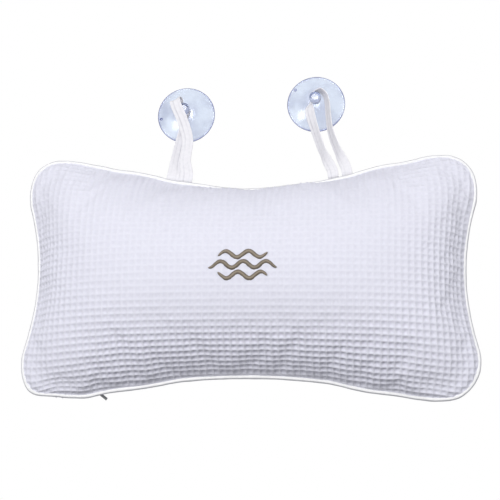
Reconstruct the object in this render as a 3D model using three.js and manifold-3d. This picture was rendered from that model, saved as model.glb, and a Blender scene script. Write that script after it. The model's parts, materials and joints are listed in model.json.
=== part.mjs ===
// A waisted bath pillow: a piped cloth cover with a zip, an inner case with its fibre fill, and two suction
// cups on tape loops.
// Millimetres. The pillow lies on its back: X runs along it, Y points to the cups and Z away from the floor.
import * as THREE from "three";
import { mergeVertices } from "three/addons/utils/BufferGeometryUtils.js";
import Module from "manifold-3d";

const wasm = await Module();
wasm.setup();

// Clearance between pieces that lie on each other
const GAP = 0.3;

// Pillow outline, measured over the piping
const PILLOW_LENGTH = 333;
const PILLOW_WIDTH = 185;
const PILLOW_THICKNESS = 78;
const LOBE_RADIUS = 32;
const TOP_SCOOP = 22;
const BOTTOM_SCOOP = 18;
const END_SCOOP = 9;
const SEAM_HEIGHT = 34;
const SPINE_LENGTH = 190;

// How the cloth swells from the seam, at share 0, to the spine along the pillow's middle, at share 1:
// rings keep the outline's shape up to RIM_SHARE, and the back is flat from FLAT_SHARE on
const RIM_SHARE = 0.21;
const RIM_DEPTH = 0.5;
const FLAT_SHARE = 0.62;
const SWELL = 2.2;
const CROWN_ROUNDNESS = 0.7;
const BED_ROUNDNESS = 0.65;
const SPINE_FALL = 0.11;
const LOBE_FALL = 0.5;
const LOBE_REACH = 1.5;
const OUTER_SHARES = [0, 0.012, 0.05, 0.12, RIM_SHARE, 0.35, 0.55, 0.78, 1];
const BACK_SHARES = [0, 0.012, 0.05, 0.12, RIM_SHARE, 0.38, FLAT_SHARE, 1];
const INNER_SHARES = [0, 0.05, RIM_SHARE, 0.55, 1];
const INNER_BACK_SHARES = [0, 0.05, RIM_SHARE, FLAT_SHARE, 1];
const COVER_BACK_SHARES = [0.05, 0.08, 0.12, 0.16, RIM_SHARE, FLAT_SHARE, 1];

// Cover cloth, its turned-in seam allowance, the inner case and the room round it
const CLOTH_THICKNESS = 1.6;
const ALLOWANCE_WIDTH = 7;
const ALLOWANCE_THICKNESS = 0.8;
const CASE_THICKNESS = 0.8;
const CASE_GAP = 0.4;

// Piping: a cloth sleeve folded round a cord, with its flange in the seam
const PIPING_DIAMETER = 3;
const SLEEVE_PLY = 0.5;

// Zip in the bottom seam
const ZIP_OPENING = 12.5;
const ZIP_END_MARGIN = 5.5;
const ZIP_TAPE_THICKNESS = 0.6;
const ZIP_TAPE_TUCK = 5.5;
const ZIP_TAPE_SPACING = 4.4;
const ZIP_TAPE_END = 3.2;
const TOOTH_PITCH = 4;
const TOOTH_FLARE = 0.2;
const TOOTH_RELIEF = 0.15;
const CHAIN_THICKNESS = 2.4;
const BEAD_SPACING = 2.4;
const BEAD_WIDTH = 1.6;
const STOP_LENGTH = 3;
const STOP_WIDTH = 2.2;
const SLIDER_LENGTH = 10;
const SLIDER_PLATE = 0.9;
const SLIDER_FLANGE = 0.8;
const SLIDER_CORNER = 1.4;
const DIVIDER_LENGTH = 3.6;
const DIVIDER_WIDTH = 2.6;
const BAIL_WIDTH = 1.6;
const BAIL_STOCK = 0.9;
const PULL_LENGTH = 9;
const PULL_WIDTH = 4.6;
const PULL_THICKNESS = 1;
const PULL_RAIL = 1;
const PULL_TILT = 54;

// Suction cups: a hollow bowl, a neck and a mushroom knob
const CUP_RADIUS = 22.5;
const CUP_RIM = 1;
const CUP_LIP = 1.4;
const HOLLOW_DEPTH = 5.4;
const BOWL_WALL = 1.8;
const BOWL_SWEEP = 1.6;
const NECK_RADIUS = 2.8;
const NECK_LENGTH = 6.2;
const KNOB_RADIUS = 4.6;
const KNOB_HEIGHT = 5.2;
const KNOB_CROWN = 2.2;
const KNOB_EDGE = 1.1;
const GATE_RADIUS = 1.1;
const GATE_HEIGHT = 1;
const GATE_INSET = 2.8;

// Tape loops that hold the cups: where each is sewn into the top seam, and where its cup lies from there
const STRAP_WIDTH = 8.6;
const STRAP_THICKNESS = 0.9;
const STRAP_ROOT_GAP = 0.5;
const STRAP_LEAD = 5;
const STRAP_SLACK = 0.3;
const LEFT_STRAP_X = -53.6;
const LEFT_LEG_PITCH = 9.8;
const LEFT_CUP_SIDE = -1;
const LEFT_CUP_REACH = 62.5;
const LEFT_GATE_ANGLE = 190;
const RIGHT_STRAP_X = 67;
const RIGHT_LEG_PITCH = 10.4;
const RIGHT_CUP_SIDE = -19.7;
const RIGHT_CUP_REACH = 67.5;
const RIGHT_GATE_ANGLE = 145;

// How finely curves are cut
const LOBE_STEPS = 7;
const SCOOP_STEPS = 12;
const END_STEPS = 4;
const ZIP_STEPS = 20;
const LATHE_STEPS = 28;
const STRAP_STEPS = 4;

// Heights and insets that several pieces share
const flangeHalf = SLEEVE_PLY + GAP / 2;
const seamHalf = flangeHalf + GAP;
const pipingRadius = PIPING_DIAMETER / 2;
const coverInset = PIPING_DIAMETER + GAP;
const allowanceInset = coverInset + ALLOWANCE_WIDTH;
const caseInset = allowanceInset + GAP;
const fillInset = caseInset + CASE_THICKNESS + GAP;
const frontEdge = SEAM_HEIGHT + seamHalf;
const backEdge = SEAM_HEIGHT - seamHalf;
const frontRise = PILLOW_THICKNESS - frontEdge;

const lerp = THREE.MathUtils.lerp;
const radians = THREE.MathUtils.degToRad;

// Mesh helpers

// A closed geometry with shared vertices, no collapsed triangles and its faces turned outwards.
function closed(geometry) {
  const bare = new THREE.BufferGeometry().setAttribute("position", geometry.getAttribute("position"));
  bare.setIndex(geometry.index);
  const merged = mergeVertices(bare, 1e-4);
  const points = merged.getAttribute("position");
  const kept = [];
  let volume = 0;
  const corners = [new THREE.Vector3(), new THREE.Vector3(), new THREE.Vector3()];
  for (let i = 0; i < merged.index.count; i += 3) {
    const [a, b, c] = [0, 1, 2].map((k) => merged.index.getX(i + k));
    if (a === b || b === c || a === c) continue;
    [a, b, c].forEach((index, k) => corners[k].fromBufferAttribute(points, index));
    volume += corners[0].dot(corners[1].clone().cross(corners[2]));
    kept.push(a, b, c);
  }
  if (volume < 0) kept.reverse();
  merged.setIndex(kept);
  merged.computeVertexNormals();
  return merged;
}

// Joins rings of equal count into one surface: "loop" closes the last ring to the first, "caps" fills both
// end rings, and "fold" leaves the end rings, whose points lie in pairs on a line. Each quad is cut along the
// diagonal that starts on its wider ring, so that forms that lie inside one another are cut alike.
function skin(rings, ends) {
  const count = rings[0].length;
  const index = [];
  const bands = ends === "loop" ? rings.length : rings.length - 1;
  for (let r = 0; r < bands; r++) {
    const next = (r + 1) % rings.length;
    const near = r * count;
    const far = next * count;
    const narrowing = reach(rings[r]) >= reach(rings[next]);
    for (let i = 0; i < count; i++) {
      const j = (i + 1) % count;
      if (narrowing) index.push(near + i, near + j, far + j, near + i, far + j, far + i);
      else index.push(near + i, near + j, far + i, near + j, far + j, far + i);
    }
  }
  if (ends === "caps") {
    const last = (rings.length - 1) * count;
    for (const [a, b, c] of THREE.ShapeUtils.triangulateShape(flattened(rings[0]), [])) {
      index.push(a, c, b);
      index.push(last + a, last + b, last + c);
    }
  }
  const geometry = new THREE.BufferGeometry();
  geometry.setAttribute("position", new THREE.Float32BufferAttribute(rings.flat(2), 3));
  geometry.setIndex(index);
  return closed(geometry);
}

// How far a ring of points reaches from the pillow's middle along X.
function reach(points) {
  return Math.max(...points.map((p) => p[0]));
}

// A flat ring of 3-D points as 2-D points in its own plane, turning the way its index order does.
function flattened(places) {
  const points = places.map((p) => new THREE.Vector3(...p));
  const normal = new THREE.Vector3();
  points.forEach((p, i) => {
    const next = points[(i + 1) % points.length];
    normal.add(p.clone().sub(points[0]).cross(next.clone().sub(points[0])));
  });
  normal.normalize();
  const across = points[1].clone().sub(points[0]).normalize();
  const up = normal.clone().cross(across);
  return points.map((p) => new THREE.Vector2(p.dot(across), p.dot(up)));
}

function solid(geometry) {
  const shape = closed(geometry);
  const vertProperties = shape.getAttribute("position").array;
  const triVerts = new Uint32Array(shape.index.array);
  return new wasm.Manifold(new wasm.Mesh({ numProp: 3, vertProperties, triVerts }));
}

function geometryOf(made) {
  const mesh = made.getMesh();
  const geometry = new THREE.BufferGeometry();
  geometry.setAttribute("position", new THREE.BufferAttribute(mesh.vertProperties, mesh.numProp));
  geometry.setIndex(new THREE.BufferAttribute(mesh.triVerts, 1));
  geometry.computeVertexNormals();
  return geometry;
}

function joined(geometries) {
  return geometryOf(geometries.map(solid).reduce((whole, next) => whole.add(next)));
}

function cut(geometry, tool) {
  return geometryOf(solid(geometry).subtract(solid(tool)));
}

// Pillow outline: eight tangent arcs, convex lobes at the corners and hollow scoops between them

const lobe = { x: PILLOW_LENGTH / 2 - LOBE_RADIUS, y: PILLOW_WIDTH / 2 - LOBE_RADIUS };

// Radius of the hollow arc that is tangent to two lobes, each `span` from its middle, and `scoop` deep.
function scoopRadius(span, scoop) {
  const rise = LOBE_RADIUS - scoop;
  return (span * span + rise * rise - LOBE_RADIUS * LOBE_RADIUS) / (2 * scoop);
}

const topRadius = scoopRadius(lobe.x, TOP_SCOOP);
const bottomRadius = scoopRadius(lobe.x, BOTTOM_SCOOP);
const endRadius = scoopRadius(lobe.y, END_SCOOP);
const topCentre = { x: 0, y: PILLOW_WIDTH / 2 - TOP_SCOOP + topRadius };
const bottomCentre = { x: 0, y: -(PILLOW_WIDTH / 2 - BOTTOM_SCOOP + bottomRadius) };
const endCentre = { x: PILLOW_LENGTH / 2 - END_SCOOP + endRadius, y: 0 };

// Points on one arc from its first angle up to, and without, its last. An inset shrinks a lobe and widens a
// scoop.
function arcSamples(centre, radius, inwards, from, to, steps) {
  const samples = [];
  for (let i = 0; i < steps; i++) {
    const angle = lerp(from, to, i / steps);
    samples.push({ centre, radius, inwards, x: Math.cos(angle), y: Math.sin(angle) });
  }
  return samples;
}

function angleFrom(a, b) {
  return Math.atan2(b.y - a.y, b.x - a.x);
}

// The outline anticlockwise from the middle of the right end, mirror-paired above and below the X axis.
function outlineSamples() {
  const upper = { x: lobe.x, y: lobe.y };
  const lower = { x: lobe.x, y: -lobe.y };
  const endAngle = angleFrom(upper, endCentre);
  const topAngle = angleFrom(upper, topCentre);
  const bottomAngle = -angleFrom(lower, bottomCentre);
  const lobeArc = (centre, from, to) => arcSamples(centre, LOBE_RADIUS, 1, from, to, LOBE_STEPS);
  const scoopArc = (centre, radius, from, to, steps) => arcSamples(centre, radius, -1, from, to, steps);
  const leftUpper = { x: -lobe.x, y: lobe.y };
  const leftLower = { x: -lobe.x, y: -lobe.y };
  const leftEnd = { x: -endCentre.x, y: 0 };
  return [
    ...scoopArc(endCentre, endRadius, Math.PI, Math.PI + endAngle, END_STEPS / 2),
    ...lobeArc(upper, endAngle, topAngle),
    ...scoopArc(topCentre, topRadius, topAngle - Math.PI, -topAngle, SCOOP_STEPS),
    ...lobeArc(leftUpper, Math.PI - topAngle, Math.PI - endAngle),
    ...scoopArc(leftEnd, endRadius, -endAngle, endAngle, END_STEPS),
    ...lobeArc(leftLower, Math.PI + endAngle, Math.PI + bottomAngle),
    ...scoopArc(bottomCentre, bottomRadius, bottomAngle, Math.PI - bottomAngle, SCOOP_STEPS),
    ...lobeArc(lower, -bottomAngle, -endAngle),
    ...scoopArc(endCentre, endRadius, Math.PI - endAngle, Math.PI, END_STEPS / 2),
  ];
}

const outline = outlineSamples();

function outlinePoint(sample, inset) {
  const radius = sample.radius - sample.inwards * inset;
  return { x: sample.centre.x + radius * sample.x, y: sample.centre.y + radius * sample.y };
}

// Where each outline point's rib ends on the spine, the line along the middle of the pillow, and how far
// the point belongs to a lobe: 1 on its arc, and 0 from LOBE_REACH radii off its centre.
outline.forEach((sample, i) => {
  const mirror = outline[(outline.length - i) % outline.length];
  const turns = [sample, mirror].map((s) => {
    const p = outlinePoint(s, 0);
    return Math.cos(Math.atan2(p.y / PILLOW_WIDTH, p.x / PILLOW_LENGTH));
  });
  sample.spine = (SPINE_LENGTH / 2) * ((turns[0] + turns[1]) / 2);
  const p = outlinePoint(sample, 0);
  const away = Math.hypot(Math.abs(p.x) - lobe.x, Math.abs(p.y) - lobe.y) / LOBE_RADIUS;
  sample.lobe = 1 - THREE.MathUtils.smoothstep(away, 1, LOBE_REACH);
});

// Domed cloth forms: rings from the seam to the spine

// Rings near the seam keep the outline's shape, and the rest run straight to the spine.
function rimInset(inset, share) {
  return inset + Math.min(share / RIM_SHARE, 1) * RIM_DEPTH * (LOBE_RADIUS - inset);
}

function ring(inset, share, height) {
  const rim = rimInset(inset, share);
  const inner = Math.max(0, (share - RIM_SHARE) / (1 - RIM_SHARE));
  return outline.map((sample) => {
    const p = outlinePoint(sample, rim);
    return [lerp(p.x, sample.spine, inner), lerp(p.y, 0, inner), height(sample)];
  });
}

// The front's crown swells steeply from the seam and levels off at the spine.
function crown(share) {
  return Math.pow(1 - Math.pow(1 - share, SWELL), CROWN_ROUNDNESS);
}

// What a rib keeps of the crown's height: the spine sinks to its ends, and the lobes rise gently.
function kept(sample, share) {
  const end = (2 * Math.abs(sample.spine)) / SPINE_LENGTH;
  return (1 - SPINE_FALL * end ** 3) * (1 - LOBE_FALL * sample.lobe * (1 - share));
}

// The back drops from the seam to a flat bed, which it reaches at FLAT_SHARE.
function bed(share) {
  return Math.pow(1 - Math.pow(1 - Math.min(share / FLAT_SHARE, 1), SWELL), BED_ROUNDNESS);
}

// The share at which the back has dropped by this portion of its full depth.
function bedShare(portion) {
  return FLAT_SHARE * (1 - Math.pow(1 - Math.pow(portion, 1 / BED_ROUNDNESS), 1 / SWELL));
}

function frontRings(inset, edge, rise, shares) {
  return shares.map((share) => {
    const height = (sample) => edge + rise * crown(share) * kept(sample, share);
    return ring(inset, share, height);
  });
}

function backRings(inset, edge, drop, shares) {
  return shares.map((share) => ring(inset, share, () => edge - drop * bed(share)));
}

// The cover panel's turned-in allowance, from the seam edge in along one face and back along the other.
function allowanceRings(edge, side) {
  const top = edge + side * ALLOWANCE_THICKNESS;
  const corner = coverInset + CLOTH_THICKNESS + GAP;
  const places = [[allowanceInset, edge], [allowanceInset, top], [corner, top]];
  return places.map(([inset, z]) => ring(inset, 0, () => z));
}

function frontPanel() {
  const outer = frontRings(coverInset, frontEdge, frontRise, OUTER_SHARES);
  const innerRise = frontRise - CLOTH_THICKNESS;
  const inner = frontRings(coverInset + CLOTH_THICKNESS, frontEdge, innerRise, INNER_SHARES.slice(1));
  return skin([...outer.reverse(), ...allowanceRings(frontEdge, 1), ...inner], "fold");
}

function backPanel() {
  const outer = backRings(coverInset, backEdge, backEdge, BACK_SHARES);
  const innerDrop = backEdge - CLOTH_THICKNESS;
  const inner = backRings(coverInset + CLOTH_THICKNESS, backEdge, innerDrop, COVER_BACK_SHARES);
  const whole = skin([...outer.reverse(), ...allowanceRings(backEdge, -1), ...inner], "fold");
  return cut(whole, zipOpeningTool());
}

// Crown of the inner case, and floor of the inner case, under the cover's inner faces.
const caseTop = PILLOW_THICKNESS - CLOTH_THICKNESS - CASE_GAP;
const caseFloor = CLOTH_THICKNESS + CASE_GAP;
const caseRise = caseTop - SEAM_HEIGHT - GAP / 2;
const caseDrop = SEAM_HEIGHT - GAP / 2 - caseFloor;
const caseInner = caseInset + CASE_THICKNESS;

function innerCaseFront() {
  const edge = SEAM_HEIGHT + GAP / 2;
  const outer = frontRings(caseInset, edge, caseRise, INNER_SHARES);
  const inner = frontRings(caseInner, edge, caseRise - CASE_THICKNESS, INNER_SHARES);
  return skin([...outer.reverse(), ...inner], "fold");
}

function innerCaseBack() {
  const edge = SEAM_HEIGHT - GAP / 2;
  const outer = backRings(caseInset, edge, caseDrop, INNER_BACK_SHARES);
  const inner = backRings(caseInner, edge, caseDrop - CASE_THICKNESS, INNER_BACK_SHARES);
  return skin([...outer.reverse(), ...inner], "fold");
}

function fibreFill() {
  const lost = CASE_THICKNESS + GAP;
  const upper = frontRings(fillInset, SEAM_HEIGHT, caseRise - lost, INNER_SHARES);
  const lower = backRings(fillInset, SEAM_HEIGHT, caseDrop - lost, INNER_BACK_SHARES);
  return skin([...upper.reverse(), ...lower.slice(1)], "fold");
}

// Piping: sections are given as inset from the pillow's outer edge, and height from the seam

function alongSeam(section) {
  return outline.map((sample) =>
    section.map(([inset, height]) => {
      const p = outlinePoint(sample, inset);
      return [p.x, p.y, SEAM_HEIGHT + height];
    }),
  );
}

// Points round a circle on the piping's middle, from one angle off the inward direction to its mirror.
function pipingArc(radius, offset, steps) {
  const start = Math.asin(offset / radius);
  const points = [];
  for (let i = 0; i <= steps; i++) {
    const angle = lerp(start, 2 * Math.PI - start, i / steps);
    points.push([pipingRadius + radius * Math.cos(angle), radius * Math.sin(angle)]);
  }
  return points;
}

// A keyhole: the sleeve's outside, its two plies in the seam, and the channel and slit between them.
function pipingSleeve() {
  const outside = pipingArc(pipingRadius, flangeHalf, 6);
  const channel = pipingArc(pipingRadius - SLEEVE_PLY, GAP / 2, 6);
  const section = [
    [allowanceInset, flangeHalf],
    ...outside,
    [allowanceInset, -flangeHalf],
    [allowanceInset, -GAP / 2],
    ...channel.reverse(),
    [allowanceInset, GAP / 2],
  ];
  return skin(alongSeam(section), "loop");
}

function pipingCord() {
  const radius = pipingRadius - SLEEVE_PLY - GAP;
  const sides = 6;
  const section = [];
  for (let i = 0; i < sides; i++) {
    const angle = (2 * Math.PI * i) / sides;
    section.push([pipingRadius + radius * Math.cos(angle), radius * Math.sin(angle)]);
  }
  return skin(alongSeam(section), "loop");
}

// Zip. Its band is a cone about the bottom scoop's axis: (along, up, out) are measured along the chain, up
// the flank to the seam and out from the pillow, from the middle of the chain. `bent` lays pieces on it.

const tapeHalf = ZIP_TAPE_THICKNESS / 2;
const tapeInset = coverInset + CLOTH_THICKNESS + GAP + tapeHalf;

// A point in the tape's plane, at this depth below the seam edge, set off by `out` from the tape's middle.
function tapePoint(depth, out) {
  const inset = tapeInset - out;
  const share = bedShare(depth / (backEdge - (inset - coverInset)));
  return { inset: rimInset(inset, share), z: backEdge - depth };
}

const bandTop = tapePoint(0, 0);
const bandFoot = tapePoint(ZIP_OPENING, 0);
const bandLength = Math.hypot(bandTop.inset - bandFoot.inset, bandTop.z - bandFoot.z);
const upflank = {
  inset: (bandTop.inset - bandFoot.inset) / bandLength,
  z: (bandTop.z - bandFoot.z) / bandLength,
};
const outflank = { inset: -upflank.z, z: upflank.inset };
const bandMiddle = { inset: (bandTop.inset + bandFoot.inset) / 2, z: (bandTop.z + bandFoot.z) / 2 };
const chainRadius = bottomRadius + bandMiddle.inset;

function bandPoint(up, out) {
  return {
    inset: bandMiddle.inset + up * upflank.inset + out * outflank.inset,
    z: bandMiddle.z + up * upflank.z + out * outflank.z,
  };
}

// A section point swung round the bottom scoop's axis by an angle, positive to the right.
function swung({ inset, z }, angle) {
  const radius = bottomRadius + inset;
  return [radius * Math.sin(angle), bottomCentre.y + radius * Math.cos(angle), z];
}

function bent(along, up, out) {
  return swung(bandPoint(up, out), along / chainRadius);
}

// A section of the band carried along the chain from one place to another.
function alongZip(section, from, to, steps) {
  const rings = [];
  for (let i = 0; i <= steps; i++) {
    const angle = lerp(from, to, i / steps) / chainRadius;
    rings.push(section.map((point) => swung(point, angle)));
  }
  return skin(rings, "caps");
}

// Places along the chain, worked in from the ends of the opening
const scoopHalfAngle = Math.PI / 2 - Math.abs(angleFrom(bottomCentre, { x: lobe.x, y: -lobe.y }));
const openingHalf = Math.abs(scoopHalfAngle) * chainRadius - ZIP_END_MARGIN;
const zipTapeEnd = openingHalf - GAP;
const stopOuter = zipTapeEnd - ZIP_TAPE_END;
const stopInner = stopOuter - STOP_LENGTH;
const sliderRest = -(stopInner - GAP - SLIDER_LENGTH / 2);
const rowStart = sliderRest;
const rowEnd = stopInner - GAP;
const chainHalf = CHAIN_THICKNESS / 2;
const beadInner = BEAD_SPACING / 2;
const beadOuter = beadInner + BEAD_WIDTH;
const tapeEdge = ZIP_TAPE_SPACING / 2;

// The part of the back flank that the zip fills, from the seam down.
function zipOpeningTool() {
  const outside = coverInset - PIPING_DIAMETER;
  const inside = allowanceInset + CLOTH_THICKNESS;
  const foot = backEdge - ZIP_OPENING;
  const section = [
    { inset: outside, z: foot },
    { inset: inside, z: foot },
    { inset: inside, z: SEAM_HEIGHT },
    { inset: outside, z: SEAM_HEIGHT },
  ];
  return alongZip(section, -openingHalf, openingHalf, ZIP_STEPS);
}

// The upper tape runs up to the seam and turns in under the piping's flange.
function zipTapeUpper() {
  const atHeight = (z, out) => bandPoint((z - bandMiddle.z - out * outflank.z) / upflank.z, out);
  const under = backEdge - ZIP_TAPE_THICKNESS;
  const section = [
    bandPoint(tapeEdge, tapeHalf),
    atHeight(backEdge, tapeHalf),
    { inset: allowanceInset, z: backEdge },
    { inset: allowanceInset, z: under },
    atHeight(under, -tapeHalf),
    bandPoint(tapeEdge, -tapeHalf),
  ];
  return alongZip(section, -zipTapeEnd, zipTapeEnd, ZIP_STEPS);
}

// The lower tape runs down behind the edge of the cover and follows its inner face.
function zipTapeLower() {
  const depths = [ZIP_OPENING, ZIP_OPENING + ZIP_TAPE_TUCK / 2, ZIP_OPENING + ZIP_TAPE_TUCK];
  const outer = depths.map((depth) => tapePoint(depth, tapeHalf));
  const inner = depths.map((depth) => tapePoint(depth, -tapeHalf)).reverse();
  const section = [bandPoint(-tapeEdge, tapeHalf), ...outer, ...inner, bandPoint(-tapeEdge, -tapeHalf)];
  return alongZip(section, -zipTapeEnd, zipTapeEnd, ZIP_STEPS);
}

// A channel section that grips a tape's edge, on the upper side (1) or the lower side (-1).
function gripSection(side, innerEdge, outerEdge, half) {
  const floor = tapeEdge - GAP;
  const mouth = tapeHalf + GAP;
  const profile = [
    [innerEdge, half],
    [outerEdge, half],
    [outerEdge, mouth],
    [floor, mouth],
    [floor, -mouth],
    [outerEdge, -mouth],
    [outerEdge, -half],
    [innerEdge, -half],
  ];
  return profile.map(([up, out]) => bandPoint(side * up, out));
}

// One tooth: a block that widens a little towards its head and reaches past the middle of the chain.
function tooth(side, middle) {
  const root = beadInner + BEAD_WIDTH / 8;
  const head = -(beadInner - GAP);
  const half = (TOOTH_PITCH / 2 - GAP) / 2;
  const widthAt = (up) => half - (TOOTH_FLARE * up) / BEAD_SPACING;
  const section = (out) => [
    bent(middle - widthAt(root), side * root, out),
    bent(middle + widthAt(root), side * root, out),
    bent(middle + widthAt(head), side * head, out),
    bent(middle - widthAt(head), side * head, out),
  ];
  const deep = chainHalf - TOOTH_RELIEF;
  return skin([section(-deep), section(deep)], "caps");
}

// A row of teeth on its bead. The two rows are half a pitch apart.
function zipTeeth(side) {
  const bead = alongZip(gripSection(side, beadInner, beadOuter, chainHalf), rowStart, rowEnd, ZIP_STEPS);
  const pieces = [bead];
  const first = rowStart + (side > 0 ? TOOTH_PITCH / 2 : TOOTH_PITCH);
  for (let middle = first; middle < rowEnd - TOOTH_PITCH / 2; middle += TOOTH_PITCH) {
    pieces.push(tooth(side, middle));
  }
  return joined(pieces);
}

// A stop crimped on one tape's edge beyond the slider's closed place.
function zipTopStop(side) {
  const inner = tapeEdge - STOP_WIDTH / 2 - GAP;
  const section = gripSection(side, inner, inner + STOP_WIDTH, chainHalf);
  return alongZip(section, -stopOuter, -stopInner, 1);
}

// A stop crimped across both tapes where the chain begins.
function zipBottomStop() {
  const reach = beadOuter;
  const upper = gripSection(1, 0, reach, chainHalf).slice(1, -1);
  const lower = gripSection(-1, 0, reach, chainHalf).slice(1, -1).reverse();
  return alongZip([...upper, ...lower], stopInner, stopOuter, 1);
}

// Slider and pull, in their own axes: x along the chain, y up the flank, z out from it

const plateInner = chainHalf + GAP;
const plateOuter = plateInner + SLIDER_PLATE;
const flangeInner = beadOuter + GAP;
const sliderHalfWidth = flangeInner + SLIDER_FLANGE;
const barReach = PULL_THICKNESS * Math.SQRT1_2;
const pivotHeight = plateOuter + GAP + barReach;
const bailInner = barReach + GAP;
const bailOuter = bailInner + BAIL_STOCK;
const bailTop = pivotHeight + barReach + GAP + BAIL_STOCK;

function roundedRectangle(left, right, halfWidth, corner) {
  const shape = new THREE.Shape();
  shape.moveTo(left + corner, -halfWidth);
  shape.lineTo(right - corner, -halfWidth);
  shape.quadraticCurveTo(right, -halfWidth, right, -halfWidth + corner);
  shape.lineTo(right, halfWidth - corner);
  shape.quadraticCurveTo(right, halfWidth, right - corner, halfWidth);
  shape.lineTo(left + corner, halfWidth);
  shape.quadraticCurveTo(left, halfWidth, left, halfWidth - corner);
  shape.lineTo(left, -halfWidth + corner);
  shape.quadraticCurveTo(left, -halfWidth, left + corner, -halfWidth);
  return shape;
}

// A shape in x and y, extruded in z from one height to another.
function extruded(shape, from, to) {
  const settings = { depth: to - from, bevelEnabled: false, curveSegments: 3 };
  return new THREE.ExtrudeGeometry(shape, settings).translate(0, 0, from);
}

// Two plates with side flanges round the chain, joined by the divider at the mouth, with a bail on top.
function zipSlider() {
  const half = SLIDER_LENGTH / 2;
  const overlap = SLIDER_PLATE / 3;
  const plate = roundedRectangle(-half, half, sliderHalfWidth, SLIDER_CORNER);
  const pieces = [extruded(plate, plateInner, plateOuter), extruded(plate, -plateOuter, -plateInner)];
  const flangeMouth = tapeHalf + GAP;
  const flangeEnd = half - SLIDER_CORNER;
  const strip = roundedRectangle(-flangeEnd, flangeEnd, SLIDER_FLANGE / 2, SLIDER_FLANGE / 4);
  for (const side of [-1, 1]) {
    const middle = (side * (flangeInner + sliderHalfWidth)) / 2;
    for (const [from, to] of [[flangeMouth, plateInner + overlap], [-plateInner - overlap, -flangeMouth]]) {
      pieces.push(extruded(strip, from, to).translate(0, middle, 0));
    }
  }
  const divider = new THREE.Shape();
  divider.moveTo(-half + GAP, 0);
  divider.lineTo(-half + GAP + DIVIDER_LENGTH / 3, -DIVIDER_WIDTH / 2);
  divider.lineTo(-half + GAP + DIVIDER_LENGTH, 0);
  divider.lineTo(-half + GAP + DIVIDER_LENGTH / 3, DIVIDER_WIDTH / 2);
  pieces.push(extruded(divider, -plateInner - overlap, plateInner + overlap));
  pieces.push(sliderBail(plateOuter - overlap));
  return joined(pieces);
}

// An arch along the slider, under which the pull's crossbar turns.
function sliderBail(foot) {
  const arch = new THREE.Shape();
  arch.moveTo(-bailOuter, foot);
  arch.lineTo(-bailOuter, bailTop - BAIL_STOCK);
  arch.quadraticCurveTo(-bailOuter, bailTop, -bailInner, bailTop);
  arch.lineTo(bailInner, bailTop);
  arch.quadraticCurveTo(bailOuter, bailTop, bailOuter, bailTop - BAIL_STOCK);
  arch.lineTo(bailOuter, foot);
  arch.lineTo(bailInner, foot);
  arch.lineTo(bailInner, bailTop - BAIL_STOCK);
  arch.lineTo(-bailInner, bailTop - BAIL_STOCK);
  arch.lineTo(-bailInner, foot);
  return extruded(arch, -BAIL_WIDTH / 2, BAIL_WIDTH / 2).rotateX(Math.PI / 2);
}

// A flat tab whose window straddles the bail. Its crossbar lies on the origin, along y.
function zipPullTab() {
  const bar = PULL_THICKNESS / 2;
  const outlineShape = roundedRectangle(-bar, PULL_LENGTH, PULL_WIDTH / 2, bar);
  const windowEnd = Math.hypot(bailOuter, bailTop - pivotHeight) + GAP;
  const windowHalf = PULL_WIDTH / 2 - PULL_RAIL;
  const opening = new THREE.Path();
  opening.moveTo(bar, -windowHalf);
  opening.lineTo(bar, windowHalf);
  opening.lineTo(windowEnd, windowHalf);
  opening.lineTo(windowEnd, -windowHalf);
  outlineShape.holes.push(opening);
  return extruded(outlineShape, -PULL_THICKNESS / 2, PULL_THICKNESS / 2);
}

// A group whose axes are the band's at one place along the chain.
function sliderGroup(along) {
  const origin = new THREE.Vector3(...bent(along, 0, 0));
  const angle = along / chainRadius;
  const x = new THREE.Vector3(Math.cos(angle), -Math.sin(angle), 0);
  const z = new THREE.Vector3(...bent(along, 0, 1)).sub(origin);
  const y = z.clone().cross(x);
  const group = new THREE.Group();
  group.position.copy(origin);
  group.quaternion.setFromRotationMatrix(new THREE.Matrix4().makeBasis(x, y, z));
  return group;
}

// Suction cups

const bowlHeight = HOLLOW_DEPTH + BOWL_WALL;
const neckTop = bowlHeight + NECK_LENGTH;
const cupHeight = neckTop + KNOB_HEIGHT;
const neckMiddle = bowlHeight + NECK_LENGTH / 2;

// Height of the bowl's upper face at a distance from its axis.
function bowlTop(radius) {
  const share = Math.max(0, (radius - NECK_RADIUS) / (CUP_RADIUS - NECK_RADIUS));
  return lerp(bowlHeight, CUP_RIM, Math.pow(share, BOWL_SWEEP));
}

// Points on a quarter circle round a middle, from one angle in degrees to the next quarter.
function quarter(r, z, radius, from) {
  return [0, 30, 60, 90].map((step) => {
    const angle = radians(from + step);
    return [r + radius * Math.cos(angle), z + radius * Math.sin(angle)];
  });
}

// Half section from the middle of the hollow, out under the bowl, round the lip and up to the knob's top.
function cupProfile() {
  const lip = CUP_RADIUS - CUP_LIP;
  const hollow = [0, 0.25, 0.5, 0.75, 0.9, 1].map((s) => [s * lip, HOLLOW_DEPTH * (1 - s * s)]);
  const rim = [[CUP_RADIUS - CUP_RIM / 3, 0], [CUP_RADIUS, CUP_RIM / 3], [CUP_RADIUS, CUP_RIM]];
  const bowl = [0.8, 0.6, 0.4, 0.22].map((s) => {
    const radius = lerp(NECK_RADIUS, CUP_RADIUS, s);
    return [radius, bowlTop(radius)];
  });
  const fillet = NECK_LENGTH / 12;
  const neck = [
    [NECK_RADIUS + fillet, bowlHeight],
    [NECK_RADIUS, bowlHeight + fillet],
    [NECK_RADIUS, neckTop],
  ];
  const knob = [
    ...quarter(KNOB_RADIUS - KNOB_EDGE, neckTop + KNOB_EDGE, KNOB_EDGE, -90),
    ...quarter(KNOB_RADIUS - KNOB_CROWN, cupHeight - KNOB_CROWN, KNOB_CROWN, 0),
    [0, cupHeight],
  ];
  return [...hollow, ...rim, ...bowl, ...neck, ...knob].map(([r, z]) => new THREE.Vector2(r, z));
}

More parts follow.
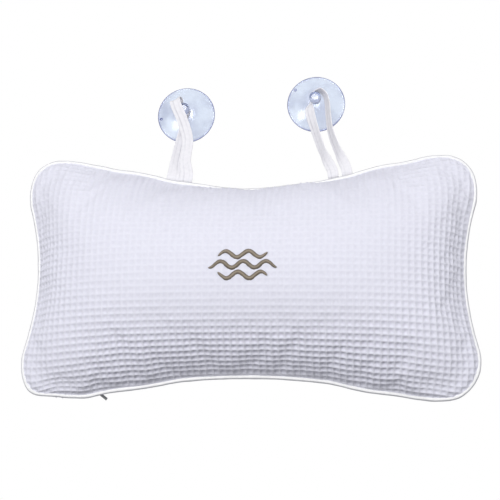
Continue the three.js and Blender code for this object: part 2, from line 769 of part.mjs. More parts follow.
// The moulding gate leaves a small nub on the bowl near the rim.
function suctionCup(gateAngle) {
  const body = new THREE.LatheGeometry(cupProfile(), LATHE_STEPS).rotateX(Math.PI / 2);
  const reach = CUP_RADIUS - GATE_INSET;
  const sunk = CUP_RIM / 2;
  const gate = new THREE.CylinderGeometry(GATE_RADIUS, GATE_RADIUS, GATE_HEIGHT + sunk, 8);
  gate.rotateX(Math.PI / 2);
  const angle = radians(gateAngle);
  const height = bowlTop(reach) + (GATE_HEIGHT - sunk) / 2;
  gate.translate(reach * Math.cos(angle), reach * Math.sin(angle), height);
  return joined([body, gate]);
}

// Straps: tape carried along a route, with a width and a width direction at each stop

// Where the legs leave the top seam, on the line that the strap turns about.
function strapRoot(seamX, legPitch) {
  const radius = topRadius - STRAP_ROOT_GAP - STRAP_THICKNESS / 2;
  const turn = Math.asin(seamX / topRadius);
  const at = (angle) => [radius * Math.sin(angle), topCentre.y - radius * Math.cos(angle), SEAM_HEIGHT];
  const step = legPitch / 2 / topRadius;
  return {
    centre: at(turn),
    legs: [at(turn - step), at(turn + step)],
    along: [Math.cos(turn), Math.sin(turn), 0],
    out: [-Math.sin(turn), Math.cos(turn), 0],
  };
}

function stop(point, across, width) {
  return { point, across, width };
}

// A leg's first two stops: its sewn end, and a short lead square to the seam that sinks by `fall`.
function leadStops(root, leg, across, fall) {
  const lead = leg.map((value, k) => value + STRAP_LEAD * root.out[k]);
  lead[2] -= fall;
  return [stop(leg, across, STRAP_WIDTH), stop(lead, across, STRAP_WIDTH)];
}

// Gathered width where the tape lies under the knob, and how far from the neck's axis it lies there.
const gatheredWidth = NECK_LENGTH - 4 * GAP;
const wrapRadius = NECK_RADIUS + GAP + STRAP_SLACK + STRAP_THICKNESS / 2;
const overKnob = cupHeight + GAP + STRAP_THICKNESS;
const besideKnob = KNOB_RADIUS + GAP + STRAP_THICKNESS;
const UPRIGHT = [0, 0, 1];

// A stop on a straight leg, a share of the way from its root to its other end, eased aside and down.
function legStop(root, end, share, aside, down, across, width) {
  const point = root.map((value, k) => lerp(value, end[k], share));
  return stop([point[0] + aside, point[1], point[2] - down], across, width);
}

// A stop where the gathered tape lies round the neck, at an angle from the X axis.
function neckStop(cup, degrees) {
  const angle = radians(degrees);
  const point = [cup[0] + wrapRadius * Math.cos(angle), cup[1] + wrapRadius * Math.sin(angle), neckMiddle];
  return stop(point, UPRIGHT, gatheredWidth);
}

// One leg crosses over the knob's left side, folds back, passes behind the neck and returns underneath.
function leftRoute(root, cup) {
  const from = (x, y, z) => [cup[0] + x, cup[1] + y, z];
  const [underLeg, overLeg] = root.legs;
  const back = root.along.map((value) => -value);
  const overEnd = from(0.1, -10.8, overKnob + 1);
  const underEnd = from(0.9, -7.2, neckMiddle + 0.6);
  return [
    ...leadStops(root, overLeg, root.along, 0.6),
    legStop(overLeg, overEnd, 0.33, 0.6, 0, root.along, STRAP_WIDTH),
    legStop(overLeg, overEnd, 0.67, 3.2, 0, [1, 0.1, 0], STRAP_WIDTH),
    stop(overEnd, [1, 0.15, 0], STRAP_WIDTH),
    stop(from(-5.2, 1.7, overKnob), [1, 0.2, 0], STRAP_WIDTH),
    stop(from(-besideKnob - 0.4, besideKnob + 0.4, overKnob - 1.2), [0.85, 0.5, 0], STRAP_WIDTH),
    stop(from(-4.4, besideKnob + 1.8, neckMiddle + 4.8), [0.7, 0.35, 0.6], STRAP_WIDTH - 1),
    stop(from(-2.8, besideKnob + 0.3, neckMiddle + 1.8), [0.35, 0.15, 0.9], gatheredWidth + 0.8),
    ...[95, 45, 0, -40].map((degrees) => neckStop(cup, degrees)),
    stop(underEnd, [-0.3, 0, 0.95], gatheredWidth + 0.6),
    legStop(underLeg, underEnd, 0.64, -0.6, 2, [-0.9, 0, 0.4], STRAP_WIDTH - 1),
    legStop(underLeg, underEnd, 0.3, -0.6, 1.2, back, STRAP_WIDTH),
    ...leadStops(root, underLeg, back, 1.8).reverse(),
  ];
}

// One leg passes under the knob on the left, and the loop stands open on the right.
function rightRoute(root, cup) {
  const from = (x, y, z) => [cup[0] + x, cup[1] + y, z];
  const [leftLeg, rightLeg] = root.legs;
  const back = root.along.map((value) => -value);
  const leftEnd = from(-wrapRadius - 0.5, -8.2, neckMiddle + 1.2);
  const rightEnd = from(besideKnob + 5.5, -11, neckMiddle + 3.9);
  return [
    ...leadStops(root, leftLeg, root.along, 1.4),
    legStop(leftLeg, leftEnd, 0.34, -1.2, 1.7, [0.66, 0, 0.75], STRAP_WIDTH),
    legStop(leftLeg, leftEnd, 0.69, -1.2, 2.2, [0.62, 0, 0.78], STRAP_WIDTH - 0.6),
    stop(leftEnd, [0.8, 0, 0.6], gatheredWidth + 1.6),
    ...[195, 165].map((degrees) => neckStop(cup, degrees)),
    stop(from(-1.6, besideKnob + 0.6, neckMiddle + 0.6), UPRIGHT, gatheredWidth + 0.7),
    stop(from(4.2, besideKnob + 2.8, neckMiddle + 1.8), UPRIGHT, STRAP_WIDTH - 0.6),
    stop(from(besideKnob + 3.8, 4.4, neckMiddle + 2.6), UPRIGHT, STRAP_WIDTH),
    stop(from(besideKnob + 5.4, -3.5, neckMiddle + 3.2), [-0.15, 0, 0.98], STRAP_WIDTH),
    stop(rightEnd, [-0.3, 0, 0.95], STRAP_WIDTH),
    legStop(rightLeg, rightEnd, 0.7, -2.4, 1.4, [-0.4, 0, 0.92], STRAP_WIDTH),
    legStop(rightLeg, rightEnd, 0.36, -1.6, 0.6, [-0.62, 0, 0.78], STRAP_WIDTH),
    ...leadStops(root, rightLeg, back, 1.2).reverse(),
  ];
}

function strap(stops) {
  const points = stops.map((place) => new THREE.Vector3(...place.point));
  const curve = new THREE.CatmullRomCurve3(points, false, "centripetal");
  const count = (stops.length - 1) * STRAP_STEPS;
  const rings = [];
  for (let i = 0; i <= count; i++) {
    const before = stops[Math.min(Math.floor(i / STRAP_STEPS), stops.length - 2)];
    const after = stops[stops.indexOf(before) + 1];
    const share = i / STRAP_STEPS - stops.indexOf(before);
    const middle = curve.getPoint(i / count);
    const tangent = curve.getTangent(i / count);
    const across = new THREE.Vector3(...before.across).normalize();
    across.lerp(new THREE.Vector3(...after.across).normalize(), share);
    across.addScaledVector(tangent, -across.dot(tangent));
    across.setLength(lerp(before.width, after.width, share) / 2);
    const through = tangent.clone().cross(across).setLength(STRAP_THICKNESS / 2);
    const corner = (a, t) => middle.clone().addScaledVector(across, a).addScaledVector(through, t).toArray();
    rings.push([corner(-1, -1), corner(1, -1), corner(1, 1), corner(-1, 1)]);
  }
  return skin(rings, "caps");
}

// Assembly

const part = new THREE.Group();

const WAFFLE_CLOTH = { color: 0xe8e8f2, roughness: 0.9, metalness: 0 };
const PLAIN_CLOTH = { color: 0xf1f1f5, roughness: 0.85, metalness: 0 };
const FIBRE = { color: 0xf6f6f4, roughness: 1, metalness: 0 };
const CLEAR_PVC = { color: 0xd2dcf0, roughness: 0.15, metalness: 0 };
const ZIP_NYLON = { color: 0xeaeaee, roughness: 0.5, metalness: 0 };
const ZIP_METAL = { color: 0x6e7370, roughness: 0.4, metalness: 0.9 };

function place(name, geometry, finish, parent = part) {
  const mesh = new THREE.Mesh(geometry, new THREE.MeshStandardMaterial(finish));
  mesh.name = name;
  parent.add(mesh);
  return mesh;
}

place("front_panel", frontPanel(), WAFFLE_CLOTH);
place("back_panel", backPanel(), WAFFLE_CLOTH);
place("inner_case_front", innerCaseFront(), PLAIN_CLOTH);
place("inner_case_back", innerCaseBack(), PLAIN_CLOTH);
place("fibre_fill", fibreFill(), FIBRE);
place("piping_sleeve", pipingSleeve(), PLAIN_CLOTH);
place("piping_cord", pipingCord(), FIBRE);

place("zip_tape_upper", zipTapeUpper(), PLAIN_CLOTH);
place("zip_tape_lower", zipTapeLower(), PLAIN_CLOTH);
place("zip_teeth_upper", zipTeeth(1), ZIP_NYLON);
place("zip_teeth_lower", zipTeeth(-1), ZIP_NYLON);
place("zip_top_stop_upper", zipTopStop(1), ZIP_METAL);
place("zip_top_stop_lower", zipTopStop(-1), ZIP_METAL);
place("zip_bottom_stop", zipBottomStop(), ZIP_METAL);
const slider = sliderGroup(sliderRest);
part.add(slider);
place("zip_slider", zipSlider(), ZIP_METAL, slider);
const pull = place("zip_pull_tab", zipPullTab(), ZIP_METAL, slider);
pull.position.z = pivotHeight;
pull.rotation.y = -radians(PULL_TILT);

const leftRoot = strapRoot(LEFT_STRAP_X, LEFT_LEG_PITCH);
const leftCup = [leftRoot.centre[0] + LEFT_CUP_SIDE, leftRoot.centre[1] + LEFT_CUP_REACH];
place("left_strap", strap(leftRoute(leftRoot, leftCup)), PLAIN_CLOTH);
place("left_suction_cup", suctionCup(LEFT_GATE_ANGLE), CLEAR_PVC).position.set(...leftCup, 0);

const rightRoot = strapRoot(RIGHT_STRAP_X, RIGHT_LEG_PITCH);
const rightCup = [rightRoot.centre[0] + RIGHT_CUP_SIDE, rightRoot.centre[1] + RIGHT_CUP_REACH];
place("right_strap", strap(rightRoute(rightRoot, rightCup)), PLAIN_CLOTH);
place("right_suction_cup", suctionCup(RIGHT_GATE_ANGLE), CLEAR_PVC).position.set(...rightCup, 0);

export default part;
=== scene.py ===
import json
import math

import bmesh
import bpy
import numpy as np
from mathutils import Matrix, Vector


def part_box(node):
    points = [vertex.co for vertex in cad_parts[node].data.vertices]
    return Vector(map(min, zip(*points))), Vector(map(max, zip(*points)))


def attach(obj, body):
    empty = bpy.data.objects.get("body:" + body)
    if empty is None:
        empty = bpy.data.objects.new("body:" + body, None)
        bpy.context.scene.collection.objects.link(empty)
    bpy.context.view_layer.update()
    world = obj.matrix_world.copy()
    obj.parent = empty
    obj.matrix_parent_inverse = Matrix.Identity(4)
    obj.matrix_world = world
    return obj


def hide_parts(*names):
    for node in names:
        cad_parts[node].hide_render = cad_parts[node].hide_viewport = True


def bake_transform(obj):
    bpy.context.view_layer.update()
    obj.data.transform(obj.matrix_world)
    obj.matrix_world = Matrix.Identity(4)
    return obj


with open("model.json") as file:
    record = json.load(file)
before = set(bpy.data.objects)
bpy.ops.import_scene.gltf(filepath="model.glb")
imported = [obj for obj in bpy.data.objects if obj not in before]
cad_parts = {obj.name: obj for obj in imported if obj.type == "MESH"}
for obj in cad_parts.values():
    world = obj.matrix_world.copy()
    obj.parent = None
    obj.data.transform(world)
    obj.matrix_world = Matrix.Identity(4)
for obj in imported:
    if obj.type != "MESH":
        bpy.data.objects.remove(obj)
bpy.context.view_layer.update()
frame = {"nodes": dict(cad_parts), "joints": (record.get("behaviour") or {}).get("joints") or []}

# Sizes are in millimetres and become metres where a mesh, a light or the camera is made.
# X runs along the pillow, Y across it towards the suction cups, and Z up from its bed to its crown.
MM = 0.001

# The seam's outline: four round lobes, with a shallow scoop along each side
PILLOW_LENGTH = 333
PILLOW_WIDTH = 185
LOBE_RADIUS = 32
TOP_SCOOP = 22
BOTTOM_SCOOP = 18
END_SCOOP = 9
SEAM_HEIGHT = 34

# The piping and how far in from the outline it is tucked
PIPING_RADIUS = 1.5
CORD_RADIUS = 0.7
TUCK = 0.8
END_TUCK = 0.8
PUSHED_TUCK = 1.2

# The cover's form, and how far its flanks swell out over the piping
COVER_INSET = 3.3
COVER_EDGE = 0.95
FULLNESS = 0.5
EDGE_EASE = 0.15
BED_DEPTH = 42.5
BED_SWELL = 2.2
BED_FULLNESS = 0.65
END_SWELL = 1.5
SIDE_SWELL = 0.8

# Half length and half width by which the inner case and the fill are drawn in
INSIDE_LENGTH = 166
INSIDE_WIDTH = 72

# The push of the fill over the piping, about the middle of the top seam
PUSH = 3.4
PUSH_MIDDLE = 15
PUSH_FULL = 32
PUSH_REACH = 66

# The waffle's cells, and the shares by which tight cloth flattens them
WAFFLE_PITCH = 4.8
WAFFLE_DEPTH = 1.6
CELL_STEPS = 6
CROWN_PULL = 0.74
END_PULL = 0.35
TOP_PULL = 0.4
TOP_ROW_PULL = 0.7

# The cloth's half length and half width, and the grids on which its form is worked out
LAY_LENGTH = 192
LAY_WIDTH = 126
FILM_STEP = 1.0
FILM_SKIN = 3
SETTLING_PASSES = 420
OVER_RELAXATION = 1.95
LENGTH_STEP = 0.5
LAYING_PASSES = 40

# The cover's slack, which a cloth simulation lays in folds
SLACK = 0.025
SETTLE_FRAMES = 20
FOLD_CELLS = 5
FOLD_LIMIT = 2.5
FOLD_SHARE = 0.55
CLOTH_SETTINGS = {
    "quality": 8,
    "mass": 0.02,
    "tension_stiffness": 12,
    "compression_stiffness": 12,
    "shear_stiffness": 6,
    "bending_stiffness": 0.8,
    "tension_damping": 10,
    "compression_damping": 10,
    "shear_damping": 10,
    "air_damping": 2,
    "use_pressure": True,
    "uniform_pressure_force": 5,
    "shrink_min": -SLACK,
}

# The zip's band in the back flank
ZIP_OPENING = 12.5
ZIP_RECESS = 5.6
ZIP_HALF_LENGTH = 124.2
ZIP_RUN_ON = 4
PIVOT_HEIGHT = 3.407
TAPE_EDGE = 2.2
TAPE_HALF = 0.3
TAPE_DIVE = 3
UPPER_TAPE = 6.9
LOWER_TAPE = 11.5

# The suction cups
CUP_RADIUS = 22.5
CUP_RIM = 1
CUP_LIP = 1.4
HOLLOW_DEPTH = 5.4
BOWL_HEIGHT = 7.2
BOWL_SWEEP = 1.6
NECK_RADIUS = 2.8
NECK_FILLET = 0.6
NECK_TOP = 13.4
KNOB_RADIUS = 4.6
KNOB_HEIGHT = 5.2
KNOB_CROWN = 2.2
KNOB_EDGE = 1.1
GATE_RADIUS = 1.1
GATE_INSET = 2.8
GATE_EDGE = 0.4

# The straps
STRAP_WIDTH = 8.6
LEFT_ROOT_WIDTH = 9.7
RIGHT_ROOT_WIDTH = 8.0
STRAP_THICKNESS = 0.9
STRAP_ROOT = 0.95
STRAP_LEAD = 5
LEFT_LEG_PITCH = 9.8
RIGHT_LEG_PITCH = 10.4
GATHERED = 5.0
WRAP_RADIUS = 3.85
OVER_KNOB = 19.8
BESIDE_KNOB = 5.8
NECK_MIDDLE = 10.3
GROOVE = -0.38

# The embroidery: each row's share of the longest one and its place across, and the size of its waves
WAVE_ROWS = ((0.72, 7.5), (1.0, 0), (0.72, -7.5))
WAVE_HALF_LENGTH = 24
WAVE_LENGTH = 16
WAVE_HEIGHT = 2.3
WAVE_LAG = 1.4
THREADS = 150
THREAD_RADIUS = 0.24

# The soft boxes' names, places, sizes and powers, the place they point at, and the floor
LAMPS = (
    ("back_box", (-90, 560, 1660), 600, 17.2),
    ("left_box", (-860, -40, 1540), 560, 7),
    ("right_box", (1150, 330, 560), 500, 2.6),
)
BED_LAMP = ("bed_box", (0, 0, -1500), 900, 9)
LAMP_AIM = (0, 20, 40)
FLOOR_HALF = 3000
FLOOR_HEIGHT = -0.2

# The camera, fitted to the outline: its way back from the bed's middle, its roll in degrees, its
# distance and shifts, and its lens
CAMERA_BACK = (0.0991, -0.2327, 0.9675)
CAMERA_ROLL = 0.87
CAMERA_DISTANCE = 1000
CAMERA_SHIFT_X = -2.4
CAMERA_SHIFT_Y = 28.1
CAMERA_LENS = 95.3

CROWN_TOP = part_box("front_panel")[1][2] / MM
FRONT_EDGE = SEAM_HEIGHT + COVER_EDGE
BACK_EDGE = SEAM_HEIGHT - COVER_EDGE
JOINTS = {joint["name"]: joint for joint in frame["joints"]}


def joint_place(name):
    """A joint's place in millimetres."""
    return np.array(JOINTS[name]["pos_m"]) / MM


# The outline


def scoop_radius(span, depth):
    """Radius of the arc that touches two lobes `span` to each side and sinks by `depth` between them."""
    rise = LOBE_RADIUS - depth
    return (span**2 + rise**2 - LOBE_RADIUS**2) / (2 * depth)


lobe_x = PILLOW_LENGTH / 2 - LOBE_RADIUS
lobe_y = PILLOW_WIDTH / 2 - LOBE_RADIUS
top_radius = scoop_radius(lobe_x, TOP_SCOOP)
bottom_radius = scoop_radius(lobe_x, BOTTOM_SCOOP)
end_radius = scoop_radius(lobe_y, END_SCOOP)
top_y = PILLOW_WIDTH / 2 - TOP_SCOOP + top_radius
bottom_y = -(PILLOW_WIDTH / 2 - BOTTOM_SCOOP + bottom_radius)
end_x = PILLOW_LENGTH / 2 - END_SCOOP + end_radius
end_angle = math.atan2(-lobe_y, end_x - lobe_x)
top_angle = math.atan2(top_y - lobe_y, -lobe_x)
bottom_angle = -math.atan2(bottom_y + lobe_y, -lobe_x)

# Each arc's centre, radius, side (1 for a lobe, -1 for a scoop) and first and last angle, anticlockwise
ARCS = (
    (lobe_x, lobe_y, LOBE_RADIUS, 1, end_angle, top_angle),
    (0, top_y, top_radius, -1, top_angle - math.pi, -top_angle),
    (-lobe_x, lobe_y, LOBE_RADIUS, 1, math.pi - top_angle, math.pi - end_angle),
    (-end_x, 0, end_radius, -1, -end_angle, end_angle),
    (-lobe_x, -lobe_y, LOBE_RADIUS, 1, math.pi + end_angle, math.pi + bottom_angle),
    (0, bottom_y, bottom_radius, -1, bottom_angle, math.pi - bottom_angle),
    (lobe_x, -lobe_y, LOBE_RADIUS, 1, -bottom_angle, -end_angle),
    (end_x, 0, end_radius, -1, math.pi - end_angle, math.pi + end_angle),
)
ARC_LENGTHS = [abs(last - first) * radius for _, _, radius, _, first, last in ARCS]
SEAM_LENGTH = sum(ARC_LENGTHS)


def seam_line(count):
    """Even steps of the outline's length, the points there, and the unit normals that point in from them."""
    place = np.arange(count) * SEAM_LENGTH / count
    points = np.zeros((count, 2))
    inwards = np.zeros((count, 2))
    run = 0
    for (centre_x, centre_y, radius, side, first, last), length in zip(ARCS, ARC_LENGTHS):
        here = (place >= run) & (place < run + length)
        angle = first + (last - first) * (place[here] - run) / length
        outwards = np.stack([np.cos(angle), np.sin(angle)], 1)
        points[here] = [centre_x, centre_y] + radius * outwards
        inwards[here] = -side * outwards
        run += length
    return place, points, inwards


def edge_distance(x, y):
    """Distance in from the outline (below 0 outside), and the unit normal inwards.

    Each arc answers for the points whose direction from its centre is in its sweep; the nearest arc counts.
    """
    best = np.full(x.shape, np.inf)
    inward_x, inward_y = np.zeros(x.shape), np.zeros(x.shape)
    for centre_x, centre_y, radius, side, first, last in ARCS:
        off_x, off_y = x - centre_x, y - centre_y
        reach = np.maximum(np.hypot(off_x, off_y), 1e-6)
        turn = (np.arctan2(off_y, off_x) - first) * np.sign(last - first)
        turn = np.mod(turn + 1e-7, 2 * math.pi)
        distance = side * (radius - reach)
        nearer = (turn <= abs(last - first) + 2e-7) & (np.abs(distance) < np.abs(best))
        best = np.where(nearer, distance, best)
        inward_x = np.where(nearer, -side * off_x / reach, inward_x)
        inward_y = np.where(nearer, -side * off_y / reach, inward_y)
    return best, inward_x, inward_y


# The cover's form


def ramp(value, start, end):
    """0 at the start, 1 at the end, both held past them, and the cubic 3v^2 - 2v^3 between."""
    share = np.clip((value - start) / (end - start), 0, 1)
    return share * share * (3 - 2 * share)


def lattice(columns, rows, step):
    """X and Y of a centred square grid with the given steps to each side."""
    return np.meshgrid(np.arange(-columns, columns + 1) * step, np.arange(-rows, rows + 1) * step)


def sampled(grid, step, x, y):
    """Value of a centred grid at points, mixed from the four nodes round each."""
    rows, columns = grid.shape
    across = np.clip(x / step + (columns - 1) / 2, 0, columns - 1.001)
    along = np.clip(y / step + (rows - 1) / 2, 0, rows - 1.001)
    i, j = across.astype(int), along.astype(int)
    u, v = across - i, along - j
    near = grid[j, i] * (1 - u) + grid[j, i + 1] * u
    far = grid[j + 1, i] * (1 - u) + grid[j + 1, i + 1] * u
    return near * (1 - v) + far * v


def settled(inside, edge, keep, gain):
    """Field that has one value at the edge.

    Each node settles at `keep` times its neighbours' mean plus `gain`. The nodes are over-relaxed in two
    colours, like the squares of a chess board.
    """
    colour = np.add.outer(np.arange(inside.shape[0]), np.arange(inside.shape[1])) % 2
    turns = [(inside & (colour == c))[1:-1, 1:-1] for c in (0, 1)]
    field = np.full(inside.shape, float(edge))
    core = field[1:-1, 1:-1]
    for _ in range(SETTLING_PASSES):
        for turn in turns:
            mean = (field[:-2, 1:-1] + field[2:, 1:-1] + field[1:-1, :-2] + field[1:-1, 2:]) / 4
            core += np.where(turn, OVER_RELAXATION * (keep * mean + gain - core), 0)
    return field


PLAN_X, PLAN_Y = lattice(170, 96, FILM_STEP)
PLAN_DEPTH = edge_distance(PLAN_X, PLAN_Y)[0] - COVER_INSET

# A film held at the cover's edge under even pressure, 1 at its top
FILM = settled(PLAN_DEPTH > 0, 0, 1, 1)
FILM = FILM / FILM.max()
FILM_SLOPES = np.gradient(FILM, FILM_STEP)


def rounded_depth():
    """Distance in from the cover's edge, without creases along the middle lines.

    A warmth that fades over 8 mm from the edge gives, by its logarithm, a distance that rounds them off.
    """
    fade = 8
    warmth = settled(PLAN_DEPTH > 0, 1, 1 / (1 + FILM_STEP**2 / (4 * fade**2)), 0)
    rounded = -fade * np.log(warmth)
    return PLAN_DEPTH + (rounded - PLAN_DEPTH) * ramp(PLAN_DEPTH, 6, 20)


BACK_DEPTH = rounded_depth()
BACK_SLOPES = np.gradient(BACK_DEPTH, FILM_STEP)


def film_share(x, y):
    """The film's height at points. Within 3 mm of the edge it falls in proportion to the distance left."""
    distance, inward_x, inward_y = edge_distance(x, y)
    depth = distance - COVER_INSET
    short = np.clip(FILM_SKIN - depth, 0, None)
    deep = sampled(FILM, FILM_STEP, x + inward_x * short, y + inward_y * short)
    return deep * np.clip(depth / FILM_SKIN, 0, 1)


def front_height(share):
    """Crown: the film's height to a power below 1 swells the flanks, eased so that no edge is upright."""
    eased = EDGE_EASE**FULLNESS
    swell = (share + EDGE_EASE) ** FULLNESS - eased
    return FRONT_EDGE + (CROWN_TOP - FRONT_EDGE) * swell / ((1 + EDGE_EASE) ** FULLNESS - eased)


def back_height(depth):
    """Bed: falls steeply from the seam's edge and is flat from BED_DEPTH inwards."""
    fall = (1 - (1 - np.clip(depth / BED_DEPTH, 0, 1)) ** BED_SWELL) ** BED_FULLNESS
    return BACK_EDGE * (1 - fall)


def blurred(grid, reach):
    """Mean over `reach` nodes to each side along both axes; past the border its slope is carried on."""
    for axis in (0, 1):
        margin = [(0, 0), (0, 0)]
        margin[axis] = (reach + 1, reach)
        total = np.cumsum(np.pad(grid, margin, mode="reflect", reflect_type="odd"), axis=axis)
        count = grid.shape[axis]
        first = np.take(total, np.arange(count), axis=axis)
        last = np.take(total, np.arange(count) + 2 * reach + 1, axis=axis)
        grid = (last - first) / (2 * reach + 1)
    return grid


def cloth_lengths():
    """Length of cloth along X and along Y from the crown's middle lines to each node of a grid.

    Outside the seam the flank's slope is carried on, so that no row of cells has a kink where it leaves
    the pillow.
    """
    columns, rows = 380, 220
    flank_slope, flank_reach = 1.6, 30
    x, y = lattice(columns, rows, LENGTH_STEP)
    outside = np.clip(COVER_INSET - edge_distance(x, y)[0], 0, flank_reach)
    z = blurred(front_height(film_share(x, y)) - flank_slope * outside, 6)
    along_x = np.zeros(x.shape)
    along_y = np.zeros(x.shape)
    along_x[:, 1:] = np.cumsum(np.hypot(LENGTH_STEP, np.diff(z, axis=1)), axis=1)
    along_y[1:] = np.cumsum(np.hypot(LENGTH_STEP, np.diff(z, axis=0)), axis=0)
    return along_x - along_x[:, columns, None], along_y - along_y[rows]


CLOTH_X, CLOTH_Y = [blurred(blurred(lengths, 10), 10) for lengths in cloth_lengths()]
STRETCH_X = np.gradient(CLOTH_X, LENGTH_STEP, axis=1)
STRETCH_Y = np.gradient(CLOTH_Y, LENGTH_STEP, axis=0)


def laid(s, t):
    """Plan places of cloth coordinates: Newton steps until the cloth's lengths to them are s and t."""
    x, y = s * 0.85, t * 0.8
    for _ in range(LAYING_PASSES):
        error = sampled(CLOTH_X, LENGTH_STEP, x, y) - s
        x = x - np.clip(error / sampled(STRETCH_X, LENGTH_STEP, x, y), -5, 5)
        error = sampled(CLOTH_Y, LENGTH_STEP, x, y) - t
        y = y - np.clip(error / sampled(STRETCH_Y, LENGTH_STEP, x, y), -5, 5)
    return x, y


def ridges(length):
    """1 along the waffle's ridges and 0 midway between them: a raised cosine to the third power."""
    return (0.5 + 0.5 * np.cos(2 * math.pi * length / WAFFLE_PITCH)) ** 3


def waffle(s, t, rows=1):
    """0 along the ridges of square cells and 1 in their hollows; `rows` below 1 lowers the rows' ridges."""
    return (1 - ridges(s)) * (1 - rows * ridges(t))


# How the pillow lies: places on the seam, the way the cloth has shifted there, and how far that reaches
LIE = (
    (-157, 83, -2.3, 2.3, 28),
    (-127, 92, 0, -1.4, 22),
    (-80, 80, 0, 2.0, 26),
    (0, 70, 0, -1.6, 40),
    (92, 80, 0, 1.6, 22),
    (124, 92, 0, -1.4, 22),
    (157, 83, 1.8, 1.8, 26),
    (-158, -82, -1.4, -1.6, 24),
    (-137, -92, 0, 4.0, 24),
    (-74, -78, 0, -1.4, 30),
    (84, -80, 0, -2.0, 30),
    (132, -92, 0, 1.6, 20),
)


def shifted(points, seam_share=1):
    """Points moved out by the flanks' swell, and by the lie's shifts.

    Each shift fades over its reach as the square of 1 - d^2.
    """
    moved = np.array(points, float)
    x, y = points[..., 0], points[..., 1]
    moved[..., 0] += END_SWELL * np.sign(x) * ramp(np.abs(x), 105, 150) * seam_share
    moved[..., 1] += SIDE_SWELL * np.sign(y) * ramp(np.abs(y), 30, 65) * seam_share
    for middle_x, middle_y, shift_x, shift_y, reach in LIE:
        near = np.clip(1 - ((x - middle_x) ** 2 + (y - middle_y) ** 2) / reach**2, 0, 1) ** 2
        moved[..., 0] += shift_x * near * seam_share
        moved[..., 1] += shift_y * near * seam_share
    return moved


# Meshes


def grid_faces(rows, columns, wrap_rows=False, wrap_columns=False):
    """Quads between the neighbours of a grid, whose last row or column may join its first."""
    j = np.arange(rows if wrap_rows else rows - 1)[:, None]
    i = np.arange(columns if wrap_columns else columns - 1)[None, :]
    next_j, next_i = (j + 1) % rows, (i + 1) % columns
    corners = (j * columns + i, j * columns + next_i, next_j * columns + next_i, next_j * columns + i)
    return np.stack(corners, -1).reshape(-1, 4)


def link(thing):
    """Puts an object into the scene."""
    bpy.context.scene.collection.objects.link(thing)


def put(name, points, faces, material, body=None, uv=None, closed=True, sharp=None):
    """A mesh object at the origin, in metres, smooth shaded, with its faces turned outwards."""
    mesh = bpy.data.meshes.new(name)
    mesh.from_pydata(points * MM, [], faces, shade_flat=False)
    if uv is not None:
        corners = np.zeros(len(mesh.loops), dtype=np.int32)
        mesh.loops.foreach_get("vertex_index", corners)
        layer = mesh.uv_layers.new(name="cloth")
        layer.data.foreach_set("uv", uv[corners].astype(np.float32).ravel())
    if closed:
        work = bmesh.new()
        work.from_mesh(mesh)
        bmesh.ops.recalc_face_normals(work, faces=work.faces)
        work.to_mesh(mesh)
        work.free()
    if sharp is not None:
        mesh.set_sharp_from_angle(angle=math.radians(sharp))
    mesh.materials.append(material)
    piece = bpy.data.objects.new(name, mesh)
    link(piece)
    if body is not None:
        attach(piece, body)
    return piece


def put_sweep(name, rings, material, body=None, uv=None):
    """Rings of points skinned into a tube that is capped at both ends."""
    rows, columns = rings.shape[:2]
    faces = grid_faces(rows, columns, wrap_columns=True).tolist()
    faces.append(list(range(columns)))
    faces.append(list(range((rows - 1) * columns, rows * columns)))
    return put(name, rings.reshape(-1, 3), faces, material, body, uv)


def mark(piece, name, values):
    """Gives each point of a piece a value that its material reads."""
    layer = piece.data.attributes.new(name, "FLOAT", "POINT")
    layer.data.foreach_set("value", values.ravel())


# Materials


def new_material(name, colour, roughness, **values):
    """A material whose Principled shader has the given plain values, and its node tree."""
    material = bpy.data.materials.new(name)
    material.use_nodes = True
    tree = material.node_tree
    shader = tree.nodes["Principled BSDF"]
    shader.inputs["Base Color"].default_value = (*colour, 1)
    shader.inputs["Roughness"].default_value = roughness
    for socket, value in values.items():
        shader.inputs[socket.replace("_", " ")].default_value = value
    return material, tree, shader


def add(tree, kind, **values):
    """A new shader node of a kind, with plain values on its inputs."""
    node = tree.nodes.new("ShaderNode" + kind)
    for socket, value in values.items():
        node.inputs[socket].default_value = value
    return node


def math_node(tree, operation, *values):
    """A Math node with links or numbers as its inputs; returns its output."""
    node = add(tree, "Math")
    node.operation = operation
    for socket, value in zip(node.inputs, values):
        if isinstance(value, bpy.types.NodeSocket):
            tree.links.new(value, socket)
        else:
            socket.default_value = value
    return node.outputs[0]


def noise_node(tree, place, scale, detail):
    """Noise at a place, from 0 to 1; returns its output."""
    noise = add(tree, "TexNoise", Scale=scale, Detail=detail)
    tree.links.new(place, noise.inputs["Vector"])
    return noise.outputs["Fac"]


def marked(tree, name):
    """The value that a piece's points were marked with."""
    node = add(tree, "Attribute")
    node.attribute_name = name
    return node.outputs["Fac"]


def tint(tree, shader, first, second, share):
    """Mixes the base colour from two by a share that is held between 0 and 1."""
    mix = add(tree, "Mix")
    mix.data_type = "RGBA"
    mix.clamp_factor = True
    mix.inputs["A"].default_value = (*first, 1)
    mix.inputs["B"].default_value = (*second, 1)
    tree.links.new(share, mix.inputs["Factor"])
    tree.links.new(mix.outputs["Result"], shader.inputs["Base Color"])


def add_bumps(tree, shader, height, strength, distance):
    """Tilts the normals by a height that stands for `distance` metres."""
    bumps = add(tree, "Bump", Strength=strength, Distance=distance)
    tree.links.new(height, bumps.inputs["Height"])
    tree.links.new(bumps.outputs[0], shader.inputs["Normal"])


def mix_shaders(tree, share, first, second):
    """Two shaders mixed by a share; returns the output."""
    mix = add(tree, "MixShader")
    for socket, output in zip(mix.inputs, (share, first, second)):
        tree.links.new(output, socket)
    return mix.outputs[0]


